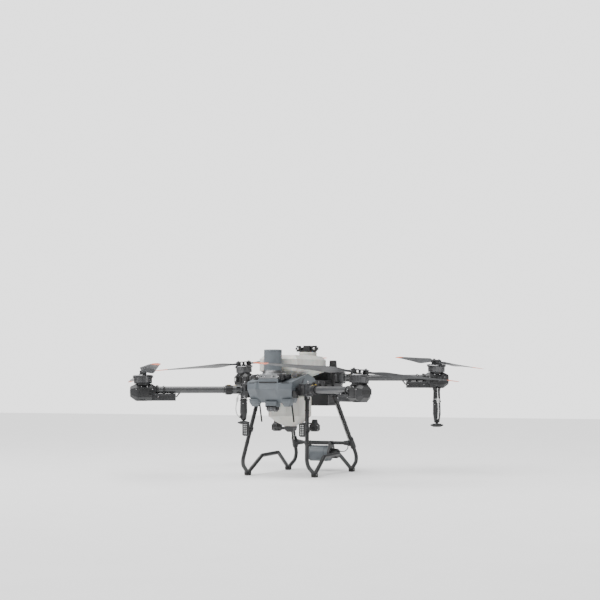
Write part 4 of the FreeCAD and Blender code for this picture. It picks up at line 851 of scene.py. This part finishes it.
for word, side in SIDES.items():
    ties = Shapes()
    for rear, heights in ((True, (240, 310, 380, 450)), (False, (200, 400, 460))):
        rise = leg_point(side, 400, rear) - leg_point(side, 200, rear)
        for z in heights:
            ties.lathe([(12.0, -2.5), (13.6, -2.5), (13.9, 0), (13.6, 2.5), (12.0, 2.5)],
                       standing(leg_point(side, z, rear), rise), 32)
        ties.lathe([(12.0, -16), (16.5, -16), (18, -13), (18, 10), (12.0, 10)],
                   standing(leg_point(side, 476, rear), rise), 36)
    ties.piece(f"leg_collars_{word}", "airframe", soft_black, f"landing_gear_{word}")
    foot_x = side * (GEAR_X - GEAR_LEAN * FOOT_Z)
    screws = Shapes()
    for y in FEET_Y:
        for dy in (-16, 16):
            screws.bolt(2.6, (foot_x + side * 15.4, y + dy * 0.7, FOOT_Z), (side, 0, 0))
    for z in (160, 198):
        spot = leg_point(side, z, True)
        screws.bolt(3.0, spot + Vector((side * 18.2, 0, 0)), (side, 0, 0))
    screws.piece(f"foot_screws_{word}", "airframe", steel, "foot_pads")
    treads = Shapes()
    for y in FEET_Y:
        for i in range(5):
            treads.slab((26, 2.4, 3), (foot_x, y - 12 + i * 6, 1.6), None, 0.8)
    treads.piece(f"foot_treads_{word}", "airframe", rubber, "foot_pads")
    cells = Shapes()
    head = leg_point(side, LAMP_Z, False)
    face = head.y - 12.25 - 46 - 14
    for col in (-1, 1):
        for row in range(6):
            cells.slab((5.0, 2.6, 5.0), (head.x + col * 6.4, face - 0.5, LAMP_Z - 27 + row * 10.8),
                       None, 1.0)
    cells.piece(f"lamp_cells_{word}", "airframe", status, "work_lights")
    case = Shapes()
    case.prism([(-17, -38), (17, -38), (19.6, -34), (19.6, 34), (17, 38), (-17, 38), (-19.6, 34),
                (-19.6, -34)], 3, move(head.x, face + 0.6, LAMP_Z) @ spin(90, "X"), 0.8)
    for i in range(9):
        case.slab((40, 12, 2.6), (head.x, face + 12, LAMP_Z - 28 + i * 7), None, 0.8)
    case.piece(f"lamp_case_{word}", "airframe", soft_black, "work_lights")

flares = Shapes()
ribs = Shapes()
for side in (-1, 1):
    spot = leg_point(side, CROSSBAR_Z, True)
    run = leg_point(side, 300, True) - leg_point(side, 100, True)
    flares.lathe([(11.2, 0), (21, 0), (19, 10), (14.5, 26), (14, 40), (11.2, 42)],
                 Matrix.Translation(spot - Vector((side * 15, 0, 0))) @ spin(-side * 90, "Y"), 32)
    for drop in (-34, 34):
        flares.drum(17.6, 5, spot + (leg_point(side, CROSSBAR_Z + drop, True) - spot) * 0.9, run, 32, 1.5)
    rise = run.normalized()
    ahead = rise.cross(Vector((1, 0, 0))).normalized()
    if ahead.y > 0:
        ahead = -ahead
    lane = Matrix.Rotation(math.radians(-22 * side), 3, rise) @ ahead * 16.85
    tilt = rise.to_track_quat("Z", "Y").to_matrix().to_4x4()
    for i in range(50):
        ribs.lathe([(3.6, 0), (4.7, 0.8), (4.7, 2.2), (3.6, 3)],
                   Matrix.Translation(spot + rise * (34 + i * 5.6) + lane) @ tilt, 14)
flares.piece("crossbar_flares", "airframe", black, "rear_crossbar")
ribs.piece("leg_hose_ribs", "airframe", hose, "leg_cables")

radar_x, radar_y, radar_z = -21, leg_point(1, CROSSBAR_Z, True).y, 110
rear = Shapes(move(0, radar_y * MM, radar_z * MM))
rear.lathe([(50.9, 0), (51.9, 0.6), (51.9, 5), (50.9, 5.6)], move(radar_x + 40, 0, 0) @ spin(90, "Y"), 64)
rear.lathe([(50.9, 0), (51.6, 0.4), (51.6, 2), (50.9, 2.4)], move(radar_x - 56, 0, 0) @ spin(90, "Y"), 64)
rear.piece("rear_radar_bands", "airframe", deep_grey, "rear_radar")
bits = Shapes(move(0, radar_y * MM, radar_z * MM))
for i in range(6):
    turn = spin(i * 60, "X")
    bits.bolt(3, Vector((65, 0, 0)) + turn @ Vector((0, 0, 37)), (1, 0, 0))
for y in (-12, 12):
    for x in (-96, 58):
        bits.bolt(3, (x, y, 80.2), (0, 0, 1))
bits.piece("rear_mount_screws", "airframe", steel, "rear_radar_mount")
fins = Shapes(move(0, radar_y * MM, radar_z * MM))
for i in range(5):
    fins.lathe([(24, 0), (31.6, 0), (31.6, 2.6), (24, 2.6)], move(72 + i * 6, 0, 0) @ spin(90, "Y"), 40)
fins.piece("rear_mount_fins", "airframe", soft_black, "rear_radar_mount")

# painted shadow: near-black plates and a neck that stand for the shade in the GNSS antennas' seams and under
# their heads
masts = Shapes()
for side in (-1, 1):
    for z, half in ((655.5, 23.6), (700, 18.4)):
        masts.slab((half * 2, half * 2, 2.0), (side * 150, 248, z), None, 0.8)
    masts.drum(11, 6, (side * 150, 248, 636), (0, 0, 1))
masts.piece("gnss_seam_shadows", "airframe", seam_shadow, "gnss_antennas")

# ---------------------------------------------------------------- floor, light, camera

FLOOR_HALF = 14.0
floor_mesh = bpy.data.meshes.new("floor")
floor_mesh.from_pydata([(x * FLOOR_HALF, y * FLOOR_HALF, 0) for x, y in ((-1, -1), (1, -1), (1, 1), (-1, 1))],
                       [], [(0, 1, 2, 3)])
floor = bpy.data.objects.new("floor", floor_mesh)
bpy.context.scene.collection.objects.link(floor)
pale = Finish("pale_floor")
speckle = pale.cloud(pale.place(), 0.004, 2.0)
pale.feed(Base_Color=pale.mix(speckle, (0.86, 0.86, 0.86), (0.90, 0.90, 0.90)), Roughness=0.6 + speckle * 0.1)
floor_mesh.materials.append(pale.material)
floor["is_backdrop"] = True

world = bpy.data.worlds.new("studio")
bpy.context.scene.world = world
world.use_nodes = True
world.node_tree.nodes.clear()
studio = Nodes(world.node_tree)
ambient = studio.node("ShaderNodeBackground", values={"Color": (1.0, 1.0, 1.0), "Strength": 0.40})
backdrop = studio.node("ShaderNodeBackground", values={"Color": (1.0, 1.0, 1.0), "Strength": 2.3})
choice = studio.node("ShaderNodeMixShader", values={0: studio.node("ShaderNodeLightPath"), 1: ambient,
                                                    2: backdrop})
surround = world.node_tree.nodes.new("ShaderNodeOutputWorld")
studio.join(surround.inputs["Surface"], choice)


def soft_light(name, place, target, size, watts):
    """A rectangular lamp that faces a point."""
    lamp = bpy.data.lights.new(name, "AREA")
    lamp.shape = "RECTANGLE"
    lamp.size, lamp.size_y = size
    lamp.energy = watts
    made = bpy.data.objects.new(name, lamp)
    made.location = place
    made.rotation_euler = (Vector(place) - Vector(target)).to_track_quat("Z", "Y").to_euler()
    bpy.context.scene.collection.objects.link(made)


soft_light("overhead", (-0.6, -0.8, 4.2), (0, 0, 0.4), (3.4, 2.6), 60)
soft_light("key_left", (-3.8, -3.4, 2.8), (0, 0, 0.5), (1.6, 1.6), 90)
soft_light("fill_right", (4.2, -1.2, 1.8), (0, 0, 0.4), (1.6, 1.6), 30)
sky_panel = bpy.data.lights.new("sky_panel", "SUN")
sky_panel.energy = 5.5
sky_panel.angle = math.radians(80)
sky_lamp = bpy.data.objects.new("sky_panel", sky_panel)
sky_lamp.rotation_euler = (math.radians(14), math.radians(-16), 0)
bpy.context.scene.collection.objects.link(sky_lamp)

camera_data = bpy.data.cameras.new("camera")
camera = bpy.data.objects.new("camera", camera_data)
AZIMUTH, AIM_ASIDE, AIM_HEIGHT = math.radians(24.91), 0.02984, 1.085
aside = Vector((math.cos(AZIMUTH), math.sin(AZIMUTH), 0))
target = aside * AIM_ASIDE + Vector((0, 0, AIM_HEIGHT))
camera.location = (3.4343, -7.3242, 0.5505)
camera.rotation_euler = (camera.location - target).to_track_quat("Z", "Y").to_euler()
camera_data.lens = 77.58
camera_data.sensor_width = 36.0
camera_data.clip_end = 100
bpy.context.scene.collection.objects.link(camera)
bpy.context.scene.camera = camera

low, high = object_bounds()
